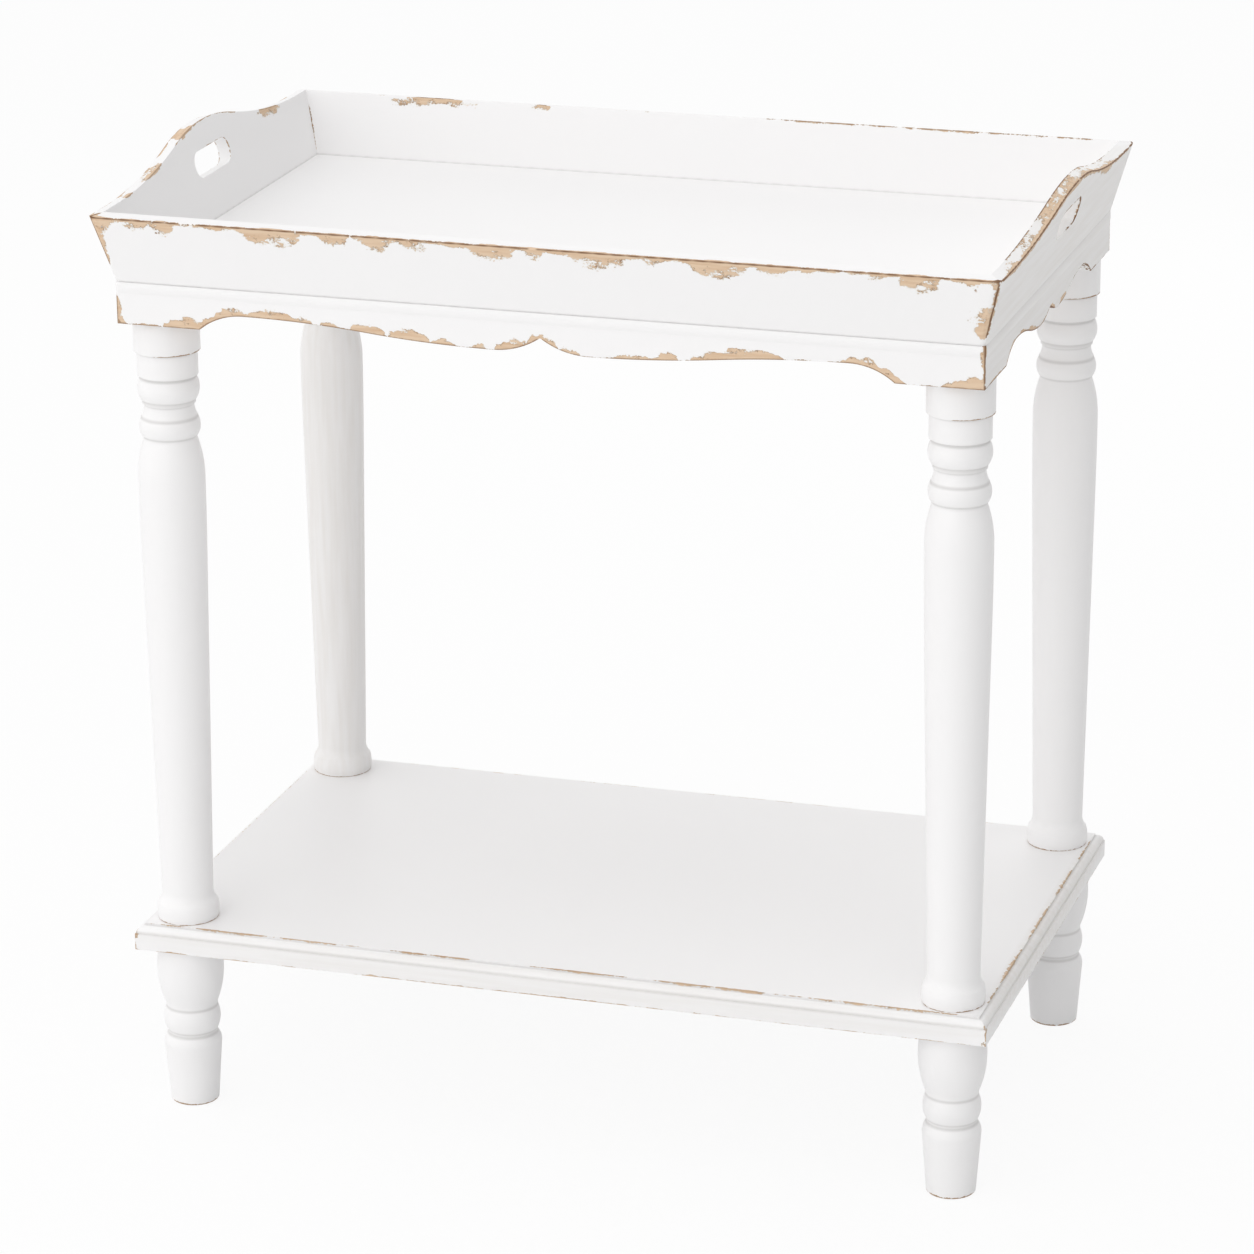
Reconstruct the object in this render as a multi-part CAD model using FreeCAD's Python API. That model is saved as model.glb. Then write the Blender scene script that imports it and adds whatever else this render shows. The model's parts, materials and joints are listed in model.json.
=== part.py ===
"""Side table with a lift-off tray: flared tray, scalloped apron, turned legs, shelf and turned feet.

The origin is on the floor under the middle of the table. X runs along the table, Y towards its back, Z up.
All lengths are in millimetres and all angles in degrees.
"""
import FreeCAD
import Part
import math
import os

Vector = FreeCAD.Vector

# Heights that stack up from the floor to the tray's rim, and the rise of the end crests above that rim
foot_height = 129.5
shelf_thickness = 20.0
leg_height = 469.0
apron_height = 31.5
tray_rise = 50.0
crest_rise = 21.5

# Plan sizes: the tray's outer base, the legs inside the apron, the shelf's edge outside the legs
tray_base_length = 645.0
tray_base_width = 399.0
leg_inset_length = 24.6
leg_inset_width = 32.0
shelf_margin_length = 31.7
shelf_margin_width = 30.5

# Tray boards, floor panel and battens
flare_angle = 15.0
tray_board = 10.0
floor_panel = 4.0
floor_rabbet = 5.0
rim_flat = 28.0
crest_turn_share = 0.3
finger_hole_length = 68.0
finger_hole_height = 20.0
finger_hole_drop = 30.0
batten_height = 9.0
batten_width = 18.0
batten_clearance = 1.0

# Apron boards: the bead along the top edge and the scalloped bottom edge
apron_board = 14.0
bead_height = 9.0
bead_proud = 0.8
quirk_height = 1.2
quirk_depth = 1.2
scallop_flat = 64.0
arch_run = 33.0
arch_rise = 12.0
arch_turn_share = 0.5
front_dip_rise = 2.0
front_cusp_run = 35.0
front_cusp_rise = 13.0
end_dip_rise = 1.5
end_cusp_run = 27.0
end_cusp_rise = 8.5

# Corner blocks and their screws
corner_block = 44.0
block_screw_radius = 2.0
block_screw_head = 4.0
block_screw_head_height = 2.4
block_screw_tip = 5.0
block_screw_bite = 9.0
block_screw_reach_share = 0.75
block_screw_height_shares = (0.3, 0.7)

# Turned legs: the base collar, the shaft and the rings under the apron, from the shelf up
base_radius = 23.5
base_roll = 0.9
base_height = 13.0
base_flare = 9.0
shaft_foot_radius = 19.3
shaft_radius = 24.6
shaft_swell_share = 0.175
shaft_shoulder = 29.0
neck_radius = 19.8
neck_height = 2.4
lower_bead_radius = 22.6
lower_bead_seat = 20.6
lower_bead_height = 14.0
cove_mouth = 20.9
cove_radius = 18.2
cove_height = 10.5
cove_fillet = 19.6
cove_fillet_height = 3.0
upper_bead_radius = 22.9
upper_bead_seat = 20.4
upper_bead_height = 17.0
ring_groove_radius = 20.6
ring_groove_height = 1.5
lower_collar_radius = 22.3
lower_collar_height = 18.5
upper_collar_radius = 24.4
upper_collar_height = 25.6

# Turned feet, from the floor up
foot_bottom_radius = 18.2
foot_bottom_chamfer = 1.0
foot_cone_radius = 21.8
foot_shoulder = 8.0
foot_groove_radius = 18.6
foot_groove_height = 3.0
foot_ring_radius = 21.4
foot_ring_seat = 19.2
foot_ring_height = 19.0
foot_neck_radius = 19.6
foot_neck_height = 2.5
foot_bulb_radius = 25.2
foot_bulb_lower = 29.0
foot_bulb_upper = 20.5
foot_top_radius = 22.6

# Shelf edge: a square band below, then a step, a round and a quirk
shelf_band = 13.0
shelf_step = 0.8
shelf_round = 5.5

# Threaded rods: hanger bolts at the leg tops, dowel screws through the shelf
rod_radius = 4.0
rod_hole_clearance = 0.15
hanger_bolt_grip = 45.0
hanger_bolt_end = 2.0
washer_radius = 9.0
washer_thickness = 1.6
nut_flats = 13.0
nut_height = 6.5
nut_sides = 6
tray_headroom = 1.4
dowel_screw_leg_grip = 40.0
dowel_screw_foot_grip = 35.0

# Brads that pin the tray's corners and its floor panel
brad_radius = 0.7
brad_length = 24.0
brad_set = 1.0
brad_clearance = 0.05
corner_brad_height_shares = (0.3, 0.7)
long_floor_brad_shares = (-0.8, -0.27, 0.27, 0.8)
short_floor_brad_shares = (-0.6, 0.6)

# Every cut runs past the piece by this much
overrun = 5.0

# Levels and half sizes that follow from the sizes above
shelf_bottom = foot_height
shelf_top = shelf_bottom + shelf_thickness
apron_bottom = shelf_top + leg_height
apron_top = apron_bottom + apron_height
flare = math.radians(flare_angle)
tray_half_length = tray_base_length / 2
tray_half_width = tray_base_width / 2
apron_half_length = tray_half_length - bead_proud
apron_half_width = tray_half_width - bead_proud
frame_half_length = apron_half_length - apron_board
frame_half_width = apron_half_width - apron_board
leg_x = apron_half_length - leg_inset_length
leg_y = apron_half_width - leg_inset_width
shelf_half_length = leg_x + shelf_margin_length
shelf_half_width = leg_y + shelf_margin_width
board_foot = tray_board / math.cos(flare)
floor_half_length = tray_half_length - board_foot + floor_rabbet
floor_half_width = tray_half_width - board_foot + floor_rabbet
rod_hole = rod_radius + rod_hole_clearance
block_height = apron_height - washer_thickness - nut_height - hanger_bolt_end - tray_headroom
block_top = apron_bottom + block_height

CORNERS = [(end, side, x, y) for end, x in (("left", -1), ("right", 1)) for side, y in (("front", -1), ("back", 1))]
UP = Vector(0, 0, 1)


# Outlines and plain solids

def arc_middle(level, end):
    """Middle point of the arc that leaves the first point along the first axis and reaches the second."""
    run = end[0] - level[0]
    rise = end[1] - level[1]
    radius = (run * run + rise * rise) / (2 * rise)
    half_turn = math.asin(run / radius) / 2
    return (level[0] + radius * math.sin(half_turn), level[1] + radius * (1 - math.cos(half_turn)))


def between(first, last, share):
    """Point at a share of the straight way from one point to another."""
    return (first[0] + (last[0] - first[0]) * share, first[1] + (last[1] - first[1]) * share)


def ogee(start, end, share):
    """Two arcs that meet smoothly and are level at both ends."""
    turn = between(start, end, share)
    return [(arc_middle(start, turn), turn), (arc_middle(end, turn), end)]


def mirrored(start, steps):
    """The same steps walked back on the other side of the middle."""
    ends = [start] + [step[-1] for step in steps]
    back = []
    for index in range(len(steps) - 1, -1, -1):
        points = steps[index][:-1] + (ends[index],)
        back.append(tuple((-u, v) for u, v in points))
    return back


def flat_face(start, steps, place):
    """Closed face whose steps are (end,) for a line or (middle, end) for an arc."""
    edges = []
    here = start
    for step in steps + [(start,)]:
        end = step[-1]
        if len(step) == 2:
            edges.append(Part.Arc(place(*here), place(*step[0]), place(*end)).toShape())
        elif end != here:
            edges.append(Part.LineSegment(place(*here), place(*end)).toShape())
        here = end
    return Part.Face(Part.Wire(edges))


def turned(start, steps):
    """Solid of revolution about Z from an outline in (height, radius) pairs that ends on the axis."""
    face = flat_face(start, steps, lambda height, radius: Vector(radius, 0, height))
    return face.revolve(Vector(0, 0, 0), UP, 360)


def block(low_x, high_x, low_y, high_y, low_z, high_z):
    """Box between two corners."""
    return Part.makeBox(high_x - low_x, high_y - low_y, high_z - low_z, Vector(low_x, low_y, low_z))


def rod(radius, x, y, low_z, high_z):
    """Upright round rod."""
    return Part.makeCylinder(radius, high_z - low_z, Vector(x, y, low_z))


def aimed(shape, at, direction):
    """A shape made along Z from the origin, turned along a direction and moved to a point."""
    placed = shape.copy()
    placed.Placement = FreeCAD.Placement(at, FreeCAD.Rotation(UP, direction))
    return placed


def on_side(shape, turn):
    """A shape made for the front side, turned about the table's middle to another side."""
    return shape.copy().rotate(Vector(0, 0, 0), UP, turn) if turn else shape


def mitre_prism(half_along, half_across, inward, outward, low_z, high_z):
    """Room of a front board between the two upright planes at 45 degrees through its corners."""
    outer_x = half_along + outward
    outer_y = -half_across - outward
    inner_x = half_along - inward
    inner_y = -half_across + inward
    plan = flat_face(
        (-outer_x, outer_y),
        [((outer_x, outer_y),), ((inner_x, inner_y),), ((-inner_x, inner_y),)],
        lambda x, y: Vector(x, y, low_z),
    )
    return plan.extrude(Vector(0, 0, high_z - low_z))


# Turned legs and feet

def leg_shape():
    """Leg that stands on the shelf at height zero, with its rings under the apron."""
    shaft_bottom = base_height + base_flare
    collar_top = leg_height
    collar_bottom = collar_top - upper_collar_height
    lower_collar_bottom = collar_bottom - lower_collar_height
    upper_bead_top = lower_collar_bottom - ring_groove_height
    upper_bead_bottom = upper_bead_top - upper_bead_height
    cove_top = upper_bead_bottom - cove_fillet_height
    lower_bead_top = cove_top - cove_height
    lower_bead_bottom = lower_bead_top - lower_bead_height
    neck_bottom = lower_bead_bottom - neck_height
    fattest = neck_bottom - shaft_shoulder
    swell = (fattest - shaft_bottom) * shaft_swell_share
    taper = (shaft_radius - shaft_foot_radius) / (fattest - shaft_bottom - swell / 2)
    swell_foot = (fattest - swell, shaft_radius - taper * swell / 2)
    base_top = (base_height, base_radius - base_roll)
    shaft_start = (shaft_bottom, shaft_foot_radius)
    shaft_fat = (fattest, shaft_radius)
    neck_start = (neck_bottom, neck_radius)
    cove_end = (cove_top, cove_radius)
    cove_start = (lower_bead_top, cove_mouth)
    steps = [
        ((0, base_radius - base_roll),),
        ((base_height / 2, base_radius), base_top),
        (arc_middle(shaft_start, base_top), shaft_start),
        (swell_foot,),
        (arc_middle(shaft_fat, swell_foot), shaft_fat),
        (arc_middle(shaft_fat, neck_start), neck_start),
        ((lower_bead_bottom, neck_radius),),
        ((lower_bead_bottom, lower_bead_seat),),
        ((lower_bead_bottom + lower_bead_height / 2, lower_bead_radius), (lower_bead_top, lower_bead_seat)),
        (cove_start,),
        (arc_middle(cove_end, cove_start), cove_end),
        ((cove_top, cove_fillet),),
        ((upper_bead_bottom, cove_fillet),),
        ((upper_bead_bottom, upper_bead_seat),),
        ((upper_bead_bottom + upper_bead_height / 2, upper_bead_radius), (upper_bead_top, upper_bead_seat)),
        ((upper_bead_top, ring_groove_radius),),
        ((lower_collar_bottom, ring_groove_radius),),
        ((lower_collar_bottom, lower_collar_radius),),
        ((collar_bottom, lower_collar_radius),),
        ((collar_bottom, upper_collar_radius),),
        ((collar_top, upper_collar_radius),),
        ((collar_top, 0),),
    ]
    top_bore = rod(rod_hole, 0, 0, leg_height - hanger_bolt_grip, leg_height + overrun)
    foot_bore = rod(rod_hole, 0, 0, -overrun, dowel_screw_leg_grip)
    return turned((0, 0), steps).cut(top_bore).cut(foot_bore)


def foot_shape():
    """Foot that stands on the floor at height zero, with its bulb under the shelf."""
    bulb_middle = foot_height - foot_bulb_upper
    bulb_bottom = bulb_middle - foot_bulb_lower
    ring_top = bulb_bottom - foot_neck_height
    ring_bottom = ring_top - foot_ring_height
    cone_top = ring_bottom - foot_groove_height
    cone_end = (cone_top - foot_shoulder, foot_cone_radius)
    groove_start = (cone_top, foot_groove_radius)
    bulb_start = (bulb_bottom, foot_neck_radius)
    bulb_fat = (bulb_middle, foot_bulb_radius)
    bulb_end = (foot_height, foot_top_radius)
    steps = [
        ((0, foot_bottom_radius - foot_bottom_chamfer),),
        ((foot_bottom_chamfer, foot_bottom_radius),),
        (cone_end,),
        (arc_middle(cone_end, groove_start), groove_start),
        ((ring_bottom, foot_groove_radius),),
        ((ring_bottom, foot_ring_seat),),
        ((ring_bottom + foot_ring_height / 2, foot_ring_radius), (ring_top, foot_ring_seat)),
        ((ring_top, foot_neck_radius),),
        (bulb_start,),
        (arc_middle(bulb_fat, bulb_start), bulb_fat),
        (arc_middle(bulb_fat, bulb_end), bulb_end),
        ((foot_height, 0),),
    ]
    bore = rod(rod_hole, 0, 0, foot_height - dowel_screw_foot_grip, foot_height + overrun)
    return turned((0, 0), steps).cut(bore)


# Shelf

def shelf_edge_cutter(half_along, half_across):
    """What the moulding takes off the front edge of the shelf."""
    round_top = (shelf_step + shelf_round, shelf_band + shelf_round)
    round_foot = (shelf_step, shelf_band)
    steps = [
        (round_foot,),
        (arc_middle(round_top, round_foot), round_top),
        ((round_top[0], shelf_thickness + overrun),),
        ((-overrun, shelf_thickness + overrun),),
    ]
    reach = half_along + overrun
    face = flat_face(
        (-overrun, shelf_band),
        steps,
        lambda inward, height: Vector(-reach, inward - half_across, shelf_bottom + height),
    )
    return face.extrude(Vector(2 * reach, 0, 0))


def shelf_shape():
    """Board with a moulded edge all round and a hole under each leg."""
    board = block(-shelf_half_length, shelf_half_length, -shelf_half_width, shelf_half_width, shelf_bottom, shelf_top)
    long_cutter = shelf_edge_cutter(shelf_half_length, shelf_half_width)
    short_cutter = shelf_edge_cutter(shelf_half_width, shelf_half_length)
    for cutter, turn in ((long_cutter, 0), (short_cutter, 90), (long_cutter, 180), (short_cutter, 270)):
        board = board.cut(on_side(cutter, turn))
    for end, side, x, y in CORNERS:
        board = board.cut(rod(rod_hole, x * leg_x, y * leg_y, shelf_bottom - overrun, shelf_top + overrun))
    return board


# Apron

def scallop_cutter(half_along, half_across, dip_rise, cusp_run, cusp_rise):
    """What the saw takes from under a front apron board: an arch each side of a middle cusp."""
    corner = (-half_along - overrun, 0)
    flat_end = (-half_along + scallop_flat, 0)
    arch_top = (-half_along + scallop_flat + arch_run, arch_rise)
    dip = (-cusp_run, dip_rise)
    cusp = (0, cusp_rise)
    left = [(flat_end,), (arc_middle(arch_top, flat_end), arch_top)]
    left += ogee(arch_top, dip, arch_turn_share)
    left.append((arc_middle(dip, cusp), cusp))
    steps = left + mirrored(corner, left)
    steps += [((-corner[0], -overrun),), ((corner[0], -overrun),)]
    face = flat_face(
        corner,
        steps,
        lambda along, height: Vector(along, -half_across - overrun, apron_bottom + height),
    )
    return face.extrude(Vector(0, apron_board + 2 * overrun, 0))


def apron_shape(half_along, half_across, dip_rise, cusp_run, cusp_rise):
    """Front apron board with a bead along its top edge, a scalloped bottom edge and mitred ends."""
    bead_foot = apron_height - bead_height
    quirk_foot = bead_foot - quirk_height
    steps = [
        ((0, quirk_foot),),
        ((quirk_depth, quirk_foot),),
        ((quirk_depth, bead_foot),),
        ((-bead_proud, bead_foot + bead_height / 2), (quirk_depth, apron_height)),
        ((apron_board, apron_height),),
        ((apron_board, 0),),
    ]
    reach = half_along + overrun
    section = flat_face(
        (0, 0),
        steps,
        lambda inward, height: Vector(-reach, inward - half_across, apron_bottom + height),
    )
    board = section.extrude(Vector(2 * reach, 0, 0))
    board = board.cut(scallop_cutter(half_along, half_across, dip_rise, cusp_run, cusp_rise))
    room = mitre_prism(
        half_along, half_across, apron_board + overrun, overrun, apron_bottom - overrun, apron_top + overrun
    )
    return board.common(room)


def block_screws(grow):
    """Two screws in each corner block, one into each apron board, grown all round for their holes."""
    length = corner_block + block_screw_bite
    screw = turned(
        (0, 0),
        [
            ((0, block_screw_head + grow),),
            ((block_screw_head_height, block_screw_radius + grow),),
            ((length - block_screw_tip + grow, block_screw_radius + grow),),
            ((length + grow, 0),),
        ],
    )
    reach = corner_block * block_screw_reach_share
    low, high = (apron_bottom + block_height * share for share in block_screw_height_shares)
    screws = []
    for end, side, x, y in CORNERS:
        start_x = x * (frame_half_length - corner_block)
        start_y = y * (frame_half_width - corner_block)
        along = Vector(start_x, y * (frame_half_width - reach), low)
        across = Vector(x * (frame_half_length - reach), start_y, high)
        screws.append(aimed(screw, along, Vector(x, 0, 0)))
        screws.append(aimed(screw, across, Vector(0, y, 0)))
    return screws


def corner_block_shape(x, y):
    """Square block in a corner of the apron frame, level with the apron's bottom, that a leg bolts to."""
    ends = sorted((x * frame_half_length, x * (frame_half_length - corner_block)))
    sides = sorted((y * frame_half_width, y * (frame_half_width - corner_block)))
    return block(*ends, *sides, apron_bottom, block_top)


# Tray

def tray_board_shape(half_along, half_across, crest):
    """Flared front board with mitred ends and a level or crested top edge cut square to its face."""
    slope = Vector(0, -math.sin(flare), math.cos(flare))
    inward = Vector(0, math.cos(flare), math.sin(flare))
    foot = Vector(0, -half_across, apron_top)
    rim = tray_rise / math.cos(flare)
    flare_run = (tray_rise + crest_rise) * math.tan(flare)
    reach = half_along + flare_run + overrun
    foot_drop = tray_board * math.tan(flare) + overrun
    corner = (-reach, -foot_drop)
    top = (0, rim + crest_rise / math.cos(flare) if crest else rim)
    left = [((-reach, rim),)]
    if crest:
        tail = (-(half_along + tray_rise * math.tan(flare) - rim_flat), rim)
        left += [(tail,)] + ogee(tail, top, 1 - crest_turn_share)
    else:
        left.append((top,))
    face = flat_face(
        corner,
        left + mirrored(corner, left),
        lambda along, height: foot + Vector(along, 0, 0) + slope * height,
    )
    board = face.extrude(inward * tray_board)
    if crest:
        hole_middle = top[1] - finger_hole_drop
        hole_radius = finger_hole_height / 2
        hole_end = finger_hole_length / 2 - hole_radius
        hole = flat_face(
            (-hole_end, hole_middle - hole_radius),
            [
                ((hole_end, hole_middle - hole_radius),),
                ((hole_end + hole_radius, hole_middle), (hole_end, hole_middle + hole_radius)),
                ((-hole_end, hole_middle + hole_radius),),
                ((-hole_end - hole_radius, hole_middle), (-hole_end, hole_middle - hole_radius)),
            ],
            lambda along, height: foot + Vector(along, 0, 0) + slope * height - inward * overrun,
        )
        board = board.cut(hole.extrude(inward * (tray_board + 2 * overrun)))
    room = mitre_prism(
        half_along, half_across, board_foot + overrun, flare_run + overrun, apron_top,
        apron_top + tray_rise + crest_rise + overrun + tray_board,
    )
    return board.common(room).removeSplitter()


def brad_shape(grow):
    """Headless brad along Z from the origin, grown all round for its hole."""
    return Part.makeCylinder(brad_radius + grow, brad_length + grow)


def corner_brads(grow):
    """Brads through the front and back boards into the tray's end boards."""
    brads = []
    for end, side, x, y in CORNERS:
        for share in corner_brad_height_shares:
            height = tray_rise * share
            lean = height * math.tan(flare)
            at = Vector(
                x * (tray_half_length + lean - board_foot / 2),
                y * (tray_half_width + lean - brad_set),
                apron_top + height,
            )
            brads.append(aimed(brad_shape(grow), at, Vector(0, -y, 0)))
    return brads


def floor_brads(grow):
    """Brads up through the edge of the floor panel into the flared boards."""
    sides = (
        (0, tray_half_length, tray_half_width, long_floor_brad_shares),
        (90, tray_half_width, tray_half_length, short_floor_brad_shares),
        (180, tray_half_length, tray_half_width, long_floor_brad_shares),
        (270, tray_half_width, tray_half_length, short_floor_brad_shares),
    )
    slope = Vector(0, -math.sin(flare), math.cos(flare))
    brads = []
    for turn, half_along, half_across, shares in sides:
        inward = -half_across + board_foot - floor_rabbet / 2
        for share in shares:
            at = Vector(half_along * share, inward, apron_top) + slope * brad_set
            brads.append(on_side(aimed(brad_shape(grow), at, slope), turn))
    return brads


def batten_shape(x):
    """Batten glued under the tray's floor that drops inside the apron frame between two corner blocks."""
    outer = frame_half_length - batten_clearance
    ends = sorted((x * outer, x * (outer - batten_width)))
    half = frame_half_width - corner_block - batten_clearance
    return block(*ends, -half, half, apron_top - batten_height, apron_top)


# Bolts

def hanger_bolts():
    """Threaded rods that stand out of the leg tops, through the corner blocks."""
    foot = apron_bottom - hanger_bolt_grip
    head = block_top + washer_thickness + nut_height + hanger_bolt_end
    return [rod(rod_radius, x * leg_x, y * leg_y, foot, head) for end, side, x, y in CORNERS]


def washers():
    """Washers on the corner blocks."""
    top = block_top + washer_thickness
    rings = []
    for end, side, x, y in CORNERS:
        disc = rod(washer_radius, x * leg_x, y * leg_y, block_top, top)
        rings.append(disc.cut(rod(rod_hole, x * leg_x, y * leg_y, block_top - overrun, top + overrun)))
    return rings


def nuts():
    """Hexagon nuts on the washers."""
    foot = block_top + washer_thickness
    top = foot + nut_height
    corner = nut_flats / 2 / math.cos(math.pi / nut_sides)
    turns = [2 * math.pi * index / nut_sides for index in range(nut_sides)]
    shapes = []
    for end, side, x, y in CORNERS:
        points = [(x * leg_x + corner * math.cos(turn), y * leg_y + corner * math.sin(turn)) for turn in turns]
        face = flat_face(points[0], [(point,) for point in points[1:]], lambda px, py: Vector(px, py, foot))
        hexagon = face.extrude(Vector(0, 0, nut_height))
        shapes.append(hexagon.cut(rod(rod_hole, x * leg_x, y * leg_y, foot - overrun, top + overrun)))
    return shapes


def dowel_screws():
    """Threaded rods through the shelf, from the feet into the legs."""
    low = shelf_bottom - dowel_screw_foot_grip
    high = shelf_top + dowel_screw_leg_grip
    return [rod(rod_radius, x * leg_x, y * leg_y, low, high) for end, side, x, y in CORNERS]


# Assembly

def without(shape, tools):
    """A shape with a hole for each tool."""
    return shape.cut(Part.makeCompound(tools))


def build():
    """Every node of the table by name."""
    nodes = {}
    screw_holes = block_screws(rod_hole_clearance)
    bolt_holes = [
        rod(rod_hole, x * leg_x, y * leg_y, apron_bottom - overrun, apron_top + overrun) for end, side, x, y in CORNERS
    ]

    front_apron = apron_shape(apron_half_length, apron_half_width, front_dip_rise, front_cusp_run, front_cusp_rise)
    end_apron = apron_shape(apron_half_width, apron_half_length, end_dip_rise, end_cusp_run, end_cusp_rise)
    for name, shape, turn in (
        ("front", front_apron, 0), ("right", end_apron, 90), ("back", front_apron, 180), ("left", end_apron, 270),
    ):
        nodes["apron_" + name] = without(on_side(shape, turn), screw_holes + bolt_holes)

    for end, side, x, y in CORNERS:
        corner = side + "_" + end
        nodes["corner_block_" + corner] = without(corner_block_shape(x, y), screw_holes + bolt_holes)
        nodes["leg_" + corner] = leg_shape().translate(Vector(x * leg_x, y * leg_y, shelf_top))
        nodes["foot_" + corner] = foot_shape().translate(Vector(x * leg_x, y * leg_y, 0))
    nodes["shelf"] = shelf_shape()

    floor = block(
        -floor_half_length, floor_half_length, -floor_half_width, floor_half_width, apron_top, apron_top + floor_panel
    )
    brad_holes = corner_brads(brad_clearance) + floor_brads(brad_clearance)
    long_board = tray_board_shape(tray_half_length, tray_half_width, False)
    end_board = tray_board_shape(tray_half_width, tray_half_length, True)
    for name, shape, turn in (
        ("front_side", long_board, 0), ("right_end", end_board, 90), ("back_side", long_board, 180),
        ("left_end", end_board, 270),
    ):
        nodes["tray_" + name] = without(on_side(shape, turn), [floor] + brad_holes)
    nodes["tray_floor"] = without(floor, brad_holes)
    nodes["tray_left_batten"] = batten_shape(-1)
    nodes["tray_right_batten"] = batten_shape(1)

    nodes["tray_corner_brads"] = Part.makeCompound(corner_brads(0))
    nodes["tray_floor_brads"] = Part.makeCompound(floor_brads(0))
    nodes["corner_block_screws"] = Part.makeCompound(block_screws(0))
    nodes["leg_hanger_bolts"] = Part.makeCompound(hanger_bolts())
    nodes["leg_washers"] = Part.makeCompound(washers())
    nodes["leg_nuts"] = Part.makeCompound(nuts())
    nodes["foot_dowel_screws"] = Part.makeCompound(dowel_screws())
    return nodes


os.makedirs("parts", exist_ok=True)
for node_name, node_shape in build().items():
    node_shape.exportStep("parts/" + node_name + ".step")
    print(node_name, len(node_shape.Solids), round(node_shape.Volume), node_shape.isValid())
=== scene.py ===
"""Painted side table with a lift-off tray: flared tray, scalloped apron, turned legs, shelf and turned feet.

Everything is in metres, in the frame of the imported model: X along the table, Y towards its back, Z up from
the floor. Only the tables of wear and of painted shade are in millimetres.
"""
import bisect
import json
import math
from itertools import pairwise

import bmesh
import bpy
from bpy.props import FloatProperty, FloatVectorProperty, PointerProperty
from mathutils import Matrix, Vector, kdtree

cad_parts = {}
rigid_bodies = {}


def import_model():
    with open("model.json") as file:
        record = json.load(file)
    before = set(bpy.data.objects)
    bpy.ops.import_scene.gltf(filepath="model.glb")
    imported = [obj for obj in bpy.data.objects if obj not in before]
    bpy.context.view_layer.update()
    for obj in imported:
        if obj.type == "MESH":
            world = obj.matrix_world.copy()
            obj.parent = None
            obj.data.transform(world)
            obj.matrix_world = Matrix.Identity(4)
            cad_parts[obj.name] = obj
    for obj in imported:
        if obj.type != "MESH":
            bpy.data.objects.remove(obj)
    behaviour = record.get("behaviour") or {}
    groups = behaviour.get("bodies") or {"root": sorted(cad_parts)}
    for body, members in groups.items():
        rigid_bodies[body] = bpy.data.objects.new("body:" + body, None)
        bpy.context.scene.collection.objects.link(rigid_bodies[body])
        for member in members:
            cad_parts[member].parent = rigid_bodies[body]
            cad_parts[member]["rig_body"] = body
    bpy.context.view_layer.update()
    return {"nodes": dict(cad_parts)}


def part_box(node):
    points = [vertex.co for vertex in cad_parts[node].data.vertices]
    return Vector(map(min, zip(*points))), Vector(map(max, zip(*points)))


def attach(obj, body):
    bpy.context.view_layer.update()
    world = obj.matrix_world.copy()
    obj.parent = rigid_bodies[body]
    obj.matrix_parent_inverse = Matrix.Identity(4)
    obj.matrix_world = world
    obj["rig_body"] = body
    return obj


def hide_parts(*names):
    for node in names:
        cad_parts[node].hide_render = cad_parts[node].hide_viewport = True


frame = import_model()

bl_info = {
    "name": "Tray Table",
    "version": (1, 0, 0),
    "blender": (4, 5, 0),
    "location": "View3D > Sidebar > Tray Table",
    "description": "Models and finishes a painted side table with a lift-off tray",
    "category": "Object",
}

MM = 0.001
ORIGIN = Vector((0, 0, 0))
ALONG, ACROSS, UP = Vector((1, 0, 0)), Vector((0, 1, 0)), Vector((0, 0, 1))
CORNERS = [(side, end) for end in ("left", "right") for side in ("front", "back")]
SIDES = (("front", 0), ("back", 180))
ENDS = (("right", 90), ("left", 270))
OVERRUN = 5 * MM
WELD = 1e-6


def number(name, value, description, subtype="NONE"):
    """A number that the user may change."""
    return FloatProperty(name=name, description=description, default=value, subtype=subtype)


def length(name, millimetres, description):
    """A size that the user may change, given in millimetres."""
    return FloatProperty(
        name=name, description=description, default=millimetres * MM, unit="LENGTH", precision=4
    )


def linear(hex_colour):
    """Linear colour of an sRGB hex value."""
    channels = [int(hex_colour[place:place + 2], 16) / 255 for place in (1, 3, 5)]
    return [value / 12.92 if value <= 0.04045 else ((value + 0.055) / 1.055) ** 2.4 for value in channels]


def colour(name, hex_colour, description):
    """A colour that the user may change, given as an sRGB hex value."""
    return FloatVectorProperty(
        name=name, description=description, subtype="COLOR", size=3, min=0, max=1, default=linear(hex_colour)
    )


# Sizes and colours that a user would change

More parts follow.
